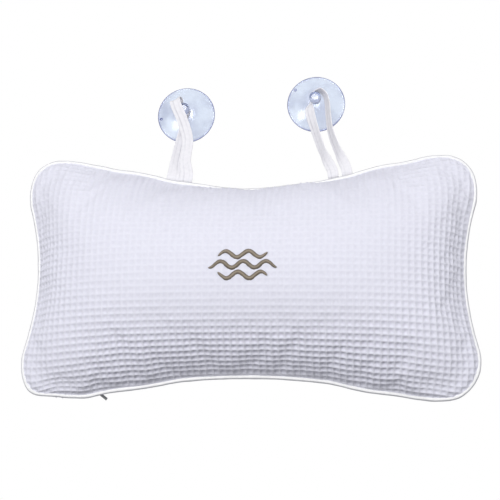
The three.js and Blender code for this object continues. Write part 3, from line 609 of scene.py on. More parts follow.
def weave_group():
    """Plain weave: threads along U and V pass over each other in turn, a sine across each thread.

    Height is the threads' rise and Lint a soft noise, both 0 to 1; Pitch is one thread's width.
    """
    group = bpy.data.node_groups.new("plain_weave", "ShaderNodeTree")
    group.interface.new_socket("Vector", in_out="INPUT", socket_type="NodeSocketVector")
    for name, way in (("Pitch", "INPUT"), ("Height", "OUTPUT"), ("Lint", "OUTPUT")):
        group.interface.new_socket(name, in_out=way, socket_type="NodeSocketFloat")
    enter = group.nodes.new("NodeGroupInput")
    leave = group.nodes.new("NodeGroupOutput")
    split = add(group, "SeparateXYZ")
    group.links.new(enter.outputs["Vector"], split.inputs[0])
    numbers = []
    rises = []
    for axis in (0, 1):
        thread = math_node(group, "DIVIDE", split.outputs[axis], enter.outputs["Pitch"])
        sine = math_node(group, "SINE", math_node(group, "MULTIPLY", thread, math.pi))
        numbers.append(math_node(group, "FLOOR", thread))
        rises.append(math_node(group, "ABSOLUTE", sine))
    over = math_node(group, "FLOORED_MODULO", math_node(group, "ADD", *numbers), 2.0)
    under = math_node(group, "SUBTRACT", 1.0, over)
    height = math_node(group, "MULTIPLY", rises[0], over)
    height = math_node(group, "MULTIPLY_ADD", rises[1], under, height)
    group.links.new(height, leave.inputs["Height"])
    group.links.new(noise_node(group, enter.outputs["Vector"], 0.35, 4), leave.inputs["Lint"])
    return group


WEAVE = weave_group()


def cloth_material(name, colour, shaded, pitch, bump, roughness=0.9, hollow=None):
    """Woven cloth on the piece's own cloth coordinates, with lint, painted shade between the weave's threads
    and, where given, painted shade from the piece's marks.
    """
    material, tree, shader = new_material(name, colour, roughness, Sheen_Weight=0.15, Sheen_Roughness=0.5)
    place = add(tree, "UVMap")
    place.uv_map = "cloth"
    weave = add(tree, "Group")
    weave.node_tree = WEAVE
    weave.inputs["Pitch"].default_value = pitch
    tree.links.new(place.outputs[0], weave.inputs["Vector"])
    shade = math_node(tree, "MULTIPLY", weave.outputs["Lint"], 0.5)
    # Lint is the cloth's own tone; the dips between the weave's threads get painted shade.
    shade = math_node(tree, "MULTIPLY_ADD", weave.outputs["Height"], -0.25, shade)
    if hollow is not None:
        # Painted shade from the piece's marks, weighted by hollow.
        shade = math_node(tree, "MULTIPLY_ADD", marked(tree, "painted_shade"), hollow, shade)
    tint(tree, shader, colour, shaded, shade)
    add_bumps(tree, shader, weave.outputs["Height"], bump, 0.0002)
    return material


def grained_material(name, colour, grain, roughness, scale, **values):
    """Moulded or painted surface: fine noise on Object coordinates moves its colour, gloss and normal."""
    material, tree, shader = new_material(name, colour, roughness, **values)
    noise = noise_node(tree, add(tree, "TexCoord").outputs["Object"], scale, 5)
    tint(tree, shader, colour, grain, noise)
    gloss = math_node(tree, "MULTIPLY_ADD", noise, 0.16, roughness - 0.08)
    tree.links.new(gloss, shader.inputs["Roughness"])
    add_bumps(tree, shader, noise, 0.15, 0.0001)
    return material


def pvc_material():
    """Clear pale blue PVC: glossy, deeper where it is thick and where painted shade is marked, with faint
    flow ripples from the mould.
    """
    pale = (0.76, 0.83, 0.96)
    deep = (0.20, 0.22, 0.42)
    material, tree, shader = new_material("clear_pvc", pale, 0.14, IOR=1.42, Transmission_Weight=0.92)
    noise = noise_node(tree, add(tree, "TexCoord").outputs["Object"], 60, 2)
    flow = math_node(tree, "MULTIPLY_ADD", noise, 1.2, -0.56)
    tint(tree, shader, pale, deep, math_node(tree, "ADD", marked(tree, "thickness_and_painted_shade"), flow))
    path = add(tree, "LightPath")
    cast = math_node(tree, "MULTIPLY_ADD", path.outputs["Is Shadow Ray"], -0.7, 1.0)
    tree.links.new(cast, shader.inputs["Alpha"])
    add_bumps(tree, shader, noise, 0.12, 0.0004)
    return material


def floor_material():
    """White backdrop: lit by the lamps for the pillow's sake, bright to the camera, and clear from below."""
    material, tree, shader = new_material("white_floor", (0.42, 0.42, 0.44), 0.9)
    glow = add(tree, "Emission", Color=(1, 1, 1, 1))
    clear = add(tree, "BsdfTransparent")
    path = add(tree, "LightPath")
    below = add(tree, "NewGeometry")
    seen = math_node(tree, "MAXIMUM", path.outputs["Is Camera Ray"], path.outputs["Is Transmission Ray"])
    above = mix_shaders(tree, seen, shader.outputs[0], glow.outputs[0])
    sides = mix_shaders(tree, below.outputs["Backfacing"], above, clear.outputs[0])
    tree.links.new(sides, tree.nodes["Material Output"].inputs["Surface"])
    return material


def surround():
    """Even pale world light that the camera sees as white."""
    world = bpy.data.worlds.new("surround")
    world.use_nodes = True
    tree = world.node_tree
    light = tree.nodes["Background"]
    light.inputs["Color"].default_value = (0.98, 0.985, 1.0, 1)
    light.inputs["Strength"].default_value = 0.33
    white = add(tree, "Background", Color=(1, 1, 1, 1))
    path = add(tree, "LightPath")
    mixed = mix_shaders(tree, path.outputs["Is Camera Ray"], light.outputs[0], white.outputs[0])
    tree.links.new(mixed, tree.nodes["World Output"].inputs["Surface"])
    return world


# Each cloth's second colour is where its lint and painted shade take it; on the waffle, painted shade
# darkens the hollows.
WAFFLE_CLOTH = cloth_material(
    "waffle_cloth", (0.78, 0.78, 0.87), (0.62, 0.62, 0.72), 0.6, 0.5, hollow=0.2
)
CASE_CLOTH = cloth_material("case_cloth", (0.78, 0.78, 0.80), (0.66, 0.66, 0.69), 0.5, 0.4)
FIBRE = cloth_material("fibre", (0.85, 0.85, 0.83), (0.72, 0.72, 0.71), 1.5, 0.8)
# The piping's darker colour also takes the painted shade on the sleeve's outward side.
PIPING_CLOTH = cloth_material("piping_cloth", (0.95, 0.95, 0.95), (0.50, 0.50, 0.54), 0.45, 0.4, hollow=0.9)
ZIP_TAPE = cloth_material("zip_tape", (0.76, 0.76, 0.79), (0.60, 0.60, 0.64), 0.5, 0.6)
# The strap's darker colour also takes the painted shade along its fold.
STRAP_TAPE = cloth_material("strap_tape", (0.86, 0.85, 0.89), (0.50, 0.50, 0.55), 0.55, 0.5, hollow=0.6)
# The thread's second colour also takes the painted shade at each thread's ends.
THREAD = cloth_material(
    "thread", (0.40, 0.34, 0.26), (0.10, 0.075, 0.05), 0.12, 0.4, roughness=0.4, hollow=0.85
)
CLEAR_PVC = pvc_material()
ZIP_NYLON = grained_material("zip_nylon", (0.76, 0.76, 0.79), (0.68, 0.68, 0.72), 0.42, 900)
ZIP_METAL = grained_material("zip_metal", (0.40, 0.42, 0.41), (0.46, 0.48, 0.47), 0.38, 700, Metallic=0.25)

# The cover, the inner case and its fill


def joined_at_edge(quads, count):
    """Quads between each edge that only one quad has and the same edge of the second face's points."""
    starts, ends = quads.ravel(), np.roll(quads, -1, axis=1).ravel()
    keys = np.minimum(starts, ends) * count + np.maximum(starts, ends)
    _, first, counts = np.unique(keys, return_index=True, return_counts=True)
    rim = first[counts == 1]
    return np.stack([ends[rim], starts[rim], starts[rim] + count, ends[rim] + count], 1)


class Lay:
    """A square lattice of cloth laid on the form: plan places, the film's share there, and both heights."""

    def __init__(self, step):
        self.s, self.t = lattice(int(LAY_LENGTH / step), int(LAY_WIDTH / step), step)
        x, y = laid(self.s, self.t)
        distance, inward_x, inward_y = edge_distance(x, y)
        self.depth = distance - COVER_INSET
        outside = np.clip(-self.depth, 0, None)
        self.x, self.y = x + inward_x * outside, y + inward_y * outside
        self.share = film_share(self.x, self.y)
        self.sunk = np.clip(sampled(BACK_DEPTH, FILM_STEP, self.x, self.y), 0, None)
        self.front = np.stack([self.x, self.y, front_height(self.share)], -1)
        self.back = np.stack([self.x, self.y, back_height(self.sunk)], -1)

    def normals(self, height, field, nudge, slopes):
        """Unit normals, upwards, of a height that hangs on a field with the given slopes along Y and X."""
        rise = (height(field + nudge) - height(field - nudge)) / (2 * nudge)
        along, across = [rise * sampled(slope, FILM_STEP, self.x, self.y) for slope in slopes]
        normal = np.stack([-across, -along, np.ones(rise.shape)], -1)
        return normal / np.linalg.norm(normal, axis=-1, keepdims=True)

    def quads(self):
        """The lattice's cells that have a corner inside the seam."""
        quads = grid_faces(*self.s.shape)
        return quads[(self.depth > 0).ravel()[quads].any(axis=1)]


def put_cushion(name, lay, front, back, material, shade_marks=None):
    """Front and back lattices joined round their edge into one closed cushion, with painted shade marked on
    its points if given.
    """
    count = lay.s.size
    quads = lay.quads()
    faces = np.concatenate([quads, quads[:, ::-1] + count, joined_at_edge(quads, count)])
    used, faces = np.unique(faces, return_inverse=True)
    points = np.concatenate([front.reshape(-1, 3), back.reshape(-1, 3)])[used]
    cloth = np.stack([lay.s.ravel(), lay.t.ravel()], 1)
    uv = np.concatenate([cloth, cloth])[used]
    piece = put(name, points, faces.reshape(-1, 4), material, "pillow", uv, closed=False)
    if shade_marks is not None:
        mark(piece, "painted_shade", shade_marks[used])
    return piece


def zip_recess(x, y, z):
    """1 inside the zip's opening in the back flank and 0 outside it, eased over its edges."""
    along = np.arctan2(x, y - bottom_y) * bottom_radius
    below = BACK_EDGE - z
    ends = ramp(np.abs(along) - ZIP_HALF_LENGTH, 5, 0)
    sides = ramp(below, 0.4, 1.4) * ramp(below, ZIP_OPENING, ZIP_OPENING - 1)
    return np.where(y < 0, ends * sides, 0)


def simulated_folds():
    """Folds of a cover with slack, as offsets on a lattice of one cell's pitch.

    A Cloth simulation holds the front at its seam and presses it out evenly, its lengths grown by the slack.
    The mean of the offsets over a few cells to each side, which is the form's own swell, is taken off again.
    """
    lay = Lay(WAFFLE_PITCH)
    used, faces = np.unique(lay.quads(), return_inverse=True)
    points = lay.front.reshape(-1, 3)[used]
    mesh = bpy.data.meshes.new("drape")
    mesh.from_pydata(points * MM, [], faces.reshape(-1, 4))
    drape = bpy.data.objects.new("drape", mesh)
    link(drape)
    held = drape.vertex_groups.new(name="held")
    held.add(np.nonzero(lay.depth.ravel()[used] <= 0.3)[0].tolist(), 1, "REPLACE")
    cloth = drape.modifiers.new("cloth", "CLOTH")
    for name, value in CLOTH_SETTINGS.items():
        setattr(cloth.settings, name, value)
    cloth.settings.vertex_group_mass = "held"
    cloth.settings.effector_weights.gravity = 0
    cloth.point_cache.frame_end = SETTLE_FRAMES
    scene = bpy.context.scene
    for number in range(1, SETTLE_FRAMES + 1):
        scene.frame_set(number)
    settled_mesh = drape.evaluated_get(bpy.context.evaluated_depsgraph_get()).data
    places = np.zeros(points.size)
    settled_mesh.vertices.foreach_get("co", places)
    moved = np.zeros((lay.s.size, 3))
    moved[used] = places.reshape(-1, 3) / MM - points
    scene.frame_set(1)
    bpy.data.objects.remove(drape)
    bpy.data.meshes.remove(mesh)
    moved = moved.reshape(*lay.s.shape, 3)
    swell = np.stack([blurred(blurred(moved[..., k], FOLD_CELLS), FOLD_CELLS) for k in range(3)], -1)
    folds = moved - swell
    size = np.linalg.norm(folds, axis=-1)
    under_thread = ramp(np.hypot(lay.x / 1.3, lay.y), 24, 50)
    share = FOLD_SHARE * under_thread * np.minimum(1, FOLD_LIMIT / np.maximum(size, 1e-6))
    return folds * share[..., None]


def pushed(x, y):
    """1 along the middle of the top seam, where the fill pushes the cover out over the piping, or else 0."""
    return np.where(y > 0, ramp(np.abs(x - PUSH_MIDDLE), PUSH_REACH, PUSH_FULL), 0)


def make_cover():
    """The waffle cover: both faces laid with the lattice, their hollows sunk along the normals.

    The front has the folds and the push of the fill, and shallower cells where its cloth is pulled tight.
    The hollows of both faces are marked for painted shade.
    """
    lay = Lay(WAFFLE_PITCH / CELL_STEPS)
    edge = ramp(lay.depth, 0, 1)
    top_flank = ramp(lay.y, 30, 55) * ramp(np.abs(lay.x), 130, 100)
    front_relief = waffle(lay.s, lay.t, 1 - TOP_ROW_PULL * top_flank) * edge
    back_relief = waffle(lay.s, lay.t) * edge
    low_side = np.clip(-lay.y / 60, -1, 1)
    loose = 1 - CROWN_PULL * ramp(lay.share - 0.15 * low_side, 0.3, 0.9)
    loose = loose * (1 - END_PULL * ramp(np.abs(lay.x), 90, 140))
    loose = loose * (1 - TOP_PULL * ramp(lay.y, 15, 50))
    folds = simulated_folds()
    folds = np.stack([sampled(folds[..., k], WAFFLE_PITCH, lay.s, lay.t) for k in range(3)], -1)
    folds = folds * ramp(lay.depth, 0, 4)[..., None]
    front_normals = lay.normals(front_height, np.clip(lay.share, 0.004, 0.999), 0.0005, FILM_SLOPES)
    front = lay.front + folds - front_normals * (WAFFLE_DEPTH * loose * front_relief)[..., None]
    bulge = ramp(lay.depth, 0, 5) * ramp(lay.depth, 34, 6)
    front[..., 1] += PUSH * pushed(lay.x, lay.y) * bulge
    recess = zip_recess(*np.moveaxis(lay.back, -1, 0))
    sunk = np.maximum(WAFFLE_DEPTH * back_relief, ZIP_RECESS * recess)
    back_normals = lay.normals(back_height, np.clip(lay.sunk, 0.05, None), 0.02, BACK_SLOPES)
    back = lay.back + back_normals * sunk[..., None]
    near_seam = ramp(lay.back[..., 2] - SEAM_HEIGHT, -6, -1)
    # Painted shade: the waffle's hollow shares, marked so that the cloth's colour darkens in its hollows.
    shade_marks = np.concatenate([front_relief.ravel(), back_relief.ravel()])
    cover = put_cushion("cover", lay, shifted(front), shifted(back, near_seam), WAFFLE_CLOTH, shade_marks)
    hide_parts("front_panel", "back_panel")


def make_insides():
    """Inner case and fibre fill, which the cover hides: its form drawn in and lowered towards its middle."""
    lay = Lay(WAFFLE_PITCH)
    for name, drawn, lowered, material, slot, nodes in (
        ("inner_case", 8, 4, CASE_CLOTH, "case_cloth", ("inner_case_front", "inner_case_back")),
        ("fill", 9, 6, FIBRE, "fibre", ("fibre_fill",)),
    ):
        scale = np.array([1 - drawn / INSIDE_LENGTH, 1 - drawn / INSIDE_WIDTH, 1])
        rise = 1 - lowered / (CROWN_TOP - SEAM_HEIGHT)
        top = SEAM_HEIGHT + 0.3 + (lay.front[..., 2] - FRONT_EDGE) * rise
        bottom = SEAM_HEIGHT - 0.3 + (lay.back[..., 2] - BACK_EDGE) * rise
        front, back = [np.stack([lay.x, lay.y, z], -1) * scale for z in (top, bottom)]
        piece = put_cushion(name, lay, front, back, material)
        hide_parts(*nodes)


# Piping


def make_piping():
    """A round cord in a cloth sleeve, carried along the outline; its girth and lay waver slightly, and the
    sleeve has painted shade on its outward side.
    """
    place, points, inwards = seam_line(1000)
    turn = 2 * math.pi * place / SEAM_LENGTH
    waver = 0.10 * np.sin(23 * turn + 1) + 0.08 * np.sin(41 * turn + 2) + 0.05 * np.sin(87 * turn)
    lift = 0.14 * np.sin(17 * turn + 0.5) + 0.10 * np.sin(53 * turn)
    tuck = TUCK + END_TUCK * ramp(np.abs(points[:, :1]), 118, 143)
    tuck = tuck + PUSHED_TUCK * pushed(points[:, :1], points[:, 1:])
    sides = 20
    angle = np.arange(sides) * 2 * math.pi / sides
    # Painted shade: the sleeve's outward side is darker.
    outer = ramp(-np.cos(angle), 0.3, 0.8) + 0 * place[:, None]
    for name, radius, material, slot, node in (
        ("piping", PIPING_RADIUS, PIPING_CLOTH, "piping_cloth", "piping_sleeve"),
        ("piping_core", CORD_RADIUS, FIBRE, "fibre", "piping_cord"),
    ):
        size = radius * (1 + 0.4 * waver)
        reach = PIPING_RADIUS + tuck + size[:, None] * np.cos(angle)
        x = points[:, :1] + inwards[:, :1] * reach
        y = points[:, 1:] + inwards[:, 1:] * reach
        z = SEAM_HEIGHT + lift[:, None] + size[:, None] * np.sin(angle)
        rings = shifted(np.stack([x, y, z], -1))
        u = place[:, None] + 0 * angle
        v = 0 * place[:, None] + radius * angle
        bias = np.stack([(u + v) * math.sqrt(0.5), (u - v) * math.sqrt(0.5)], -1).reshape(-1, 2)
        faces = grid_faces(len(place), len(angle), wrap_rows=True, wrap_columns=True)
        piece = put(name, rings.reshape(-1, 3), faces, material, "pillow", bias)
        mark(piece, "painted_shade", outer)
        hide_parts(node)


# Zip


def zip_band():
    """The band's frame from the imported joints: the chain's radius and height, and the up and out steps."""
    pivot = joint_place("zip_pull_flip")
    centre = joint_place("zip_travel")
    up = np.array(JOINTS["zip_pull_flip"]["axis"])
    turn = math.atan2(pivot[0], pivot[1] - centre[1])
    out = np.cross([math.cos(turn), -math.sin(turn), 0], up)
    middle = pivot - PIVOT_HEIGHT * out
    radial = np.array([math.sin(turn), math.cos(turn)])
    radius = np.hypot(middle[0], middle[1] - centre[1])
    return radius, middle[2], (radial @ up[:2], up[2]), (radial @ out[:2], out[2])


def make_zip_tapes():
    """Each tape is a flat section carried along the chain's arc.

    It dives ever deeper at the seam or under the cover, and runs on under it past the opening's ends.
    """
    chain_radius, chain_z, up_step, out_step = zip_band()
    half_length = ZIP_HALF_LENGTH + ZIP_RUN_ON
    turn = np.linspace(-half_length, half_length, 160)[:, None] / chain_radius
    for name, node, ups in (
        ("zip_upper_tape", "zip_tape_upper", np.linspace(TAPE_EDGE, UPPER_TAPE, 12)),
        ("zip_lower_tape", "zip_tape_lower", np.linspace(-TAPE_EDGE, -LOWER_TAPE, 18)),
    ):
        bead = TAPE_HALF * (1 - 0.35 * np.cos(np.linspace(0, 1, len(ups)) * 6 * math.pi) ** 8)
        up = np.concatenate([ups, ups[::-1]])
        out = np.concatenate([bead, -bead]) - TAPE_DIVE * ramp(np.abs(up), 5.2, 10.2)
        radius = chain_radius + up * up_step[0] + out * out_step[0]
        z = chain_z + up * up_step[1] + out * out_step[1] + 0 * turn
        rings = np.stack([radius * np.sin(turn), bottom_y + radius * np.cos(turn), z], -1)
        u = chain_radius * turn + 0 * up
        v = up + 0 * turn
        chevron = np.stack([u + np.abs(np.mod(v, 2.4) - 1.2), v], -1).reshape(-1, 2)
        tape = put_sweep(name, rings, ZIP_TAPE, "pillow", chevron)
        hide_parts(node)


def dress_nodes():
    """Finishes of the zip's rigid CAD pieces."""
    stops = ("zip_top_stop_upper", "zip_top_stop_lower", "zip_bottom_stop")
    for material, nodes in (
        (ZIP_NYLON, ("zip_teeth_upper", "zip_teeth_lower")),
        (ZIP_METAL, (*stops, "zip_slider", "zip_pull_tab")),
    ):
        for node in nodes:
            for holder in frame["nodes"][node].material_slots:
                holder.material = material


# Suction cups


def arc(r, z, radius, first, last, count):
    """Points on an arc in the half section, between two angles in degrees."""
    angle = np.radians(np.linspace(first, last, count))
    return np.stack([r + radius * np.cos(angle), z + radius * np.sin(angle)], 1)


def bowl_top(share):
    """Height of the bowl's outside, a power of the share of the way from the neck to the rim."""
    return BOWL_HEIGHT + (CUP_RIM - BOWL_HEIGHT) * share**BOWL_SWEEP


def cup_section():
    """Half section from the hollow's middle, under the bowl, round the lip and up to the knob's top."""
    share = np.linspace(0, 1, 24)
    hollow = np.stack([share * (CUP_RADIUS - CUP_LIP), HOLLOW_DEPTH * (1 - share**2)], 1)
    rim = arc(CUP_RADIUS - CUP_RIM / 2, CUP_RIM / 2, CUP_RIM / 2, -90, 90, 9)
    inwards = np.linspace(0.95, 0.06, 22)
    bowl = np.stack([NECK_RADIUS + (CUP_RADIUS - NECK_RADIUS) * inwards, bowl_top(inwards)], 1)
    neck = arc(NECK_RADIUS + NECK_FILLET, BOWL_HEIGHT + NECK_FILLET, NECK_FILLET, 270, 180, 6)
    under = arc(KNOB_RADIUS - KNOB_EDGE, NECK_TOP + KNOB_EDGE, KNOB_EDGE, -90, 0, 8)
    top = NECK_TOP + KNOB_HEIGHT
    over = arc(KNOB_RADIUS - KNOB_CROWN, top - KNOB_CROWN, KNOB_CROWN, 0, 90, 10)
    return np.concatenate([hollow, rim, bowl, neck, [[NECK_RADIUS, NECK_TOP]], under, over, [[0, top]]])


def cup_thickness_and_painted_shade(section):
    """Share of the deep colour along the half section: the rim, the neck and the knob have most. The knob
    and the neck are deeper as they are thick; the line round the rim is painted shade.
    """
    radius, z = section.T
    # Painted shade: a deep-coloured line round the rim.
    rim = ramp(radius - CUP_RADIUS, -1.4, -0.4)
    middle = 0.28 * ramp(radius, 15, 3)
    knob = 0.3 * ramp(z - NECK_TOP, 0, 1.5)
    return np.clip(0.04 + 0.8 * rim + middle + knob, 0, 1)


def put_lathe(name, section, thickness_and_painted_shade, middle, body, steps=96):
    """A half section swung round Z in clear PVC: rings of points and two poles, marked with their share of
    the deep colour, for thick PVC and for painted shade.
    """
    angle = np.arange(steps) * 2 * math.pi / steps
    inner = section[1:-1]
    x = inner[:, :1] * np.cos(angle)
    y = inner[:, :1] * np.sin(angle)
    rings = np.stack([x, y, inner[:, 1:] + 0 * angle], -1).reshape(-1, 3)
    points = np.concatenate([rings, [[0, 0, section[0, 1]], [0, 0, section[-1, 1]]]]) + middle
    faces = grid_faces(len(inner), steps, wrap_columns=True).tolist()
    ring = np.arange(steps)
    after = (ring + 1) % steps
    last = (len(inner) - 1) * steps
    faces += np.stack([ring, after, np.full(steps, len(rings))], 1).tolist()
    faces += np.stack([last + ring, last + after, np.full(steps, len(rings) + 1)], 1).tolist()
    piece = put(name, points, faces, CLEAR_PVC, body, sharp=40)
    poles = [thickness_and_painted_shade[0], thickness_and_painted_shade[-1]]
    mark(piece, "thickness_and_painted_shade", np.concatenate([np.repeat(thickness_and_painted_shade[1:-1], steps), poles]))
    return piece


def make_cups():
    """Both cups, with the nub that the mould's gate leaves near the rim."""
    pieces = []
    section = cup_section()
    nub_edge = arc(GATE_RADIUS - GATE_EDGE, 0.3, GATE_EDGE, -60, 90, 8)
    nub = np.concatenate([[[0, -0.4]], nub_edge, [[0, 0.7]]])
    reach = CUP_RADIUS - GATE_INSET
    height = bowl_top(1 - GATE_INSET / (CUP_RADIUS - NECK_RADIUS))
    for side, gate in (("left", 190), ("right", 145)):
        body = f"{side}_cup"
        middle = joint_place(f"{side}_cup_swivel")
        cup = put_lathe(f"{side}_cup", section, cup_thickness_and_painted_shade(section), middle, body)
        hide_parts(f"{side}_suction_cup")
        turn = math.radians(gate)
        spot = middle + [reach * math.cos(turn), reach * math.sin(turn), height]
        # Painted shade: the gate's nub takes the full deep colour.
        gate_mark = put_lathe(f"{side}_cup_gate", nub, np.ones(len(nub)), spot, body, steps=24)
        pieces += [cup, gate_mark]
    return pieces


# Straps


class Root:
    """Where a strap's two legs leave the top seam: their places and the directions along and out."""

    def __init__(self, side, pitch, width):
        self.width = width
        self.centre = joint_place(f"{side}_strap_swing")
        self.cup = joint_place(f"{side}_cup_swivel")
        self.along = np.array(JOINTS[f"{side}_strap_swing"]["axis"])
        self.out = np.array([-self.along[1], self.along[0], 0])
        turn = math.atan2(self.along[1], self.along[0])
        radius = top_radius - STRAP_ROOT
        self.legs = []
        for angle in (turn - pitch / 2 / top_radius, turn + pitch / 2 / top_radius):
            leg = [radius * math.sin(angle), top_y - radius * math.cos(angle), SEAM_HEIGHT]
            self.legs.append(np.array(leg))

    def lead(self, leg, across, fall):
        """A leg's first stops: sewn in under the piping, out past it, and a lead that sinks by `fall`."""
        steps = ((-7.5, 2.6), (-2.6, 2.3), (0.3, 0.5), (STRAP_LEAD, fall))
        return [(leg + out * self.out - [0, 0, down], across, self.width) for out, down in steps]

    def by_cup(self, x, y, z):
        """A place measured from the cup's axis."""
        return np.array([self.cup[0] + x, self.cup[1] + y, z])

    def round_neck(self, degrees):
        """A stop where the gathered tape lies round the cup's neck."""
        turn = math.radians(degrees)
        place = self.by_cup(WRAP_RADIUS * math.cos(turn), WRAP_RADIUS * math.sin(turn), NECK_MIDDLE)
        return (place, (0, 0, 1), GATHERED)


def on_leg(leg, end, share, aside, down, across, width=STRAP_WIDTH):
    """A stop a share of the way from a leg's root to its other end, eased aside and down."""
    return (leg + (end - leg) * share + [aside, 0, -down], across, width)


def left_stops(root):
    """One leg crosses over the knob's left side, folds back, passes behind the neck and returns below."""
    under_leg, over_leg = root.legs
    over_end = root.by_cup(0.1, -10.8, OVER_KNOB + 1)
    under_end = root.by_cup(0.9, -7.2, NECK_MIDDLE + 0.6)
    fold = root.by_cup(-BESIDE_KNOB - 0.4, BESIDE_KNOB + 0.4, OVER_KNOB - 1.2)
    return [
        *root.lead(over_leg, root.along, 0.6),
        on_leg(over_leg, over_end, 0.33, 0.6, 0, root.along),
        on_leg(over_leg, over_end, 0.67, 3.2, 0, (1, 0.1, 0)),
        (over_end, (1, 0.15, 0), STRAP_WIDTH),
        (root.by_cup(-5.2, 1.7, OVER_KNOB), (1, 0.2, 0), STRAP_WIDTH),
        (fold, (0.85, 0.5, 0), STRAP_WIDTH),
        (root.by_cup(-4.4, BESIDE_KNOB + 1.8, NECK_MIDDLE + 4.8), (0.7, 0.35, 0.6), STRAP_WIDTH - 1),
        (root.by_cup(-2.8, BESIDE_KNOB + 0.3, NECK_MIDDLE + 1.8), (0.35, 0.15, 0.9), GATHERED + 0.8),
        root.round_neck(95),
        root.round_neck(45),
        root.round_neck(0),
        root.round_neck(-40),
        (under_end, (-0.3, 0, 0.95), GATHERED + 0.6),
        on_leg(under_leg, under_end, 0.64, -0.6, 2, (-0.9, 0, 0.4), STRAP_WIDTH - 1),
        on_leg(under_leg, under_end, 0.3, -0.6, 1.2, -root.along),
        *root.lead(under_leg, -root.along, 1.8)[::-1],
    ]


def right_stops(root):
    """One leg passes under the knob on the left, and the loop stands open on the right."""
    left_leg, right_leg = root.legs
    left_end = root.by_cup(-WRAP_RADIUS - 0.5, -8.2, NECK_MIDDLE + 1.2)
    right_end = root.by_cup(BESIDE_KNOB + 4.2, -11.5, NECK_MIDDLE + 3.9)
    return [
        *root.lead(left_leg, root.along, 1.4),
        on_leg(left_leg, left_end, 0.34, -1.2, 1.7, (0.56, 0, 0.83)),
        on_leg(left_leg, left_end, 0.69, -1.2, 2.2, (0.72, 0, 0.69), STRAP_WIDTH - 0.6),
        (left_end, (0.96, 0, 0.28), GATHERED + 2.6),
        root.round_neck(195),
        root.round_neck(165),
        (root.by_cup(-1.4, BESIDE_KNOB - 0.3, NECK_MIDDLE + 0.6), (0, 0, 1), GATHERED + 0.7),
        (root.by_cup(4.0, BESIDE_KNOB + 0.9, NECK_MIDDLE + 1.8), (0.1, 0.3, 0.95), STRAP_WIDTH - 1.6),
        (root.by_cup(BESIDE_KNOB + 1.9, 2.6, NECK_MIDDLE + 2.6), (0.35, 0.2, 0.9), STRAP_WIDTH - 0.6),
        (root.by_cup(BESIDE_KNOB + 3.5, -4.0, NECK_MIDDLE + 3.2), (0.45, 0, 0.89), STRAP_WIDTH),
        (right_end, (0.48, 0, 0.88), STRAP_WIDTH),
        on_leg(right_leg, right_end, 0.7, -2.4, 1.4, (0.48, 0, 0.88)),
        on_leg(right_leg, right_end, 0.36, -1.6, 0.6, (0.56, 0, 0.83)),
        *root.lead(right_leg, root.along, 1.2)[::-1],
    ]


def curve_through(points, steps):
    """Centripetal Catmull-Rom curve: places and tangents at even shares of each stretch between points."""
    ends = np.vstack([2 * points[0] - points[1], points, 2 * points[-1] - points[-2]])
    strides = np.diff(ends, axis=0)
    gaps = np.linalg.norm(strides, axis=1, keepdims=True) ** 0.5
    rates = strides / gaps
    spans = (ends[2:] - ends[:-2]) / (gaps[:-1] + gaps[1:])
    speed_in = gaps[1:-1] * (rates[:-2] - spans[:-1] + rates[1:-1])
    speed_out = gaps[1:-1] * (rates[1:-1] - spans[1:] + rates[2:])
    share = (np.arange(steps) / steps)[None, :, None]
    a, b, c, d = (value[:, None] for value in (points[:-1], points[1:], speed_in, speed_out))
    second = -3 * a + 3 * b - 2 * c - d
    third = 2 * a - 2 * b + c + d
    places = (a + c * share + second * share**2 + third * share**3).reshape(-1, 3)
    tangents = (c + 2 * second * share + 3 * third * share**2).reshape(-1, 3)
    tangents = np.vstack([tangents, speed_out[-1]])
    return np.vstack([places, points[-1]]), tangents / np.linalg.norm(tangents, axis=1, keepdims=True)


def hump(share, middle, reach):
    """Bell curve about a place across the tape, 1 at its middle."""
    return np.exp(-(((share - middle) / reach) ** 2))


def tape_section(count=45):
    """Folded tape: rounded edges, a groove where the folded edge lies, and a ridge along each selvedge.

    Shares across the half width, and half thicknesses in shares of the full one.
    """
    across = np.sin(np.linspace(-1, 1, count) * math.pi / 2)
    half = 0.5 * (1 - across**12) ** 0.5
    half = half * (1 - 0.42 * hump(across, GROOVE, 0.07) + 0.12 * hump(np.abs(across), 0.86, 0.07))
    return np.concatenate([across, across[::-1]]), np.concatenate([half, -half[::-1]])


def make_strap(side, pitch, width, stops_of):
    """A tape's section carried along its route, its width turned by the stops' directions, with lines of
    painted shade along it.
    """
    root = Root(side, pitch, width)
    stops = stops_of(root)
    steps = 14
    places, tangents = curve_through(np.array([place for place, _, _ in stops]), steps)
    at = np.arange(len(places)) / steps
    number = np.arange(len(stops))
    turned = np.array([np.array(across) / np.linalg.norm(across) for _, across, _ in stops])
    across = np.stack([np.interp(at, number, turned[:, k]) for k in range(3)], 1)
    across -= tangents * (across * tangents).sum(1, keepdims=True)
    across /= np.linalg.norm(across, axis=1, keepdims=True)
    through = np.cross(tangents, across)
    width = np.interp(at, number, [width for _, _, width in stops])
    share, half = tape_section()
    run = np.concatenate([[0], np.cumsum(np.linalg.norm(np.diff(places, axis=0), axis=1))])
    curl = 0.25 * share**2 * np.sin(run[:, None] / 17 + 0.6)
    rings = places[:, None] + across[:, None] * (share * width[:, None] / 2)[..., None]
    rings = rings + through[:, None] * (half * STRAP_THICKNESS + curl)[..., None]
    uv = np.stack([share * STRAP_WIDTH / 2 + 0 * at[:, None], run[:, None] + 0 * share], -1).reshape(-1, 2)
    tape = put_sweep(f"{side}_tape", rings, STRAP_TAPE, uv=uv)
    # Painted shade: darker lines along the groove of the fold and near the other edge, stronger and weaker
    # along the tape.
    fold = hump(share, GROOVE, 0.1) + 0.4 * hump(share, 0.45, 0.1)
    mark(tape, "painted_shade", fold * (0.6 + 0.4 * np.sin(run[:, None] / 11 + 2)))
    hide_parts(f"{side}_strap")
    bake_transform(tape)
    return tape


# Embroidery


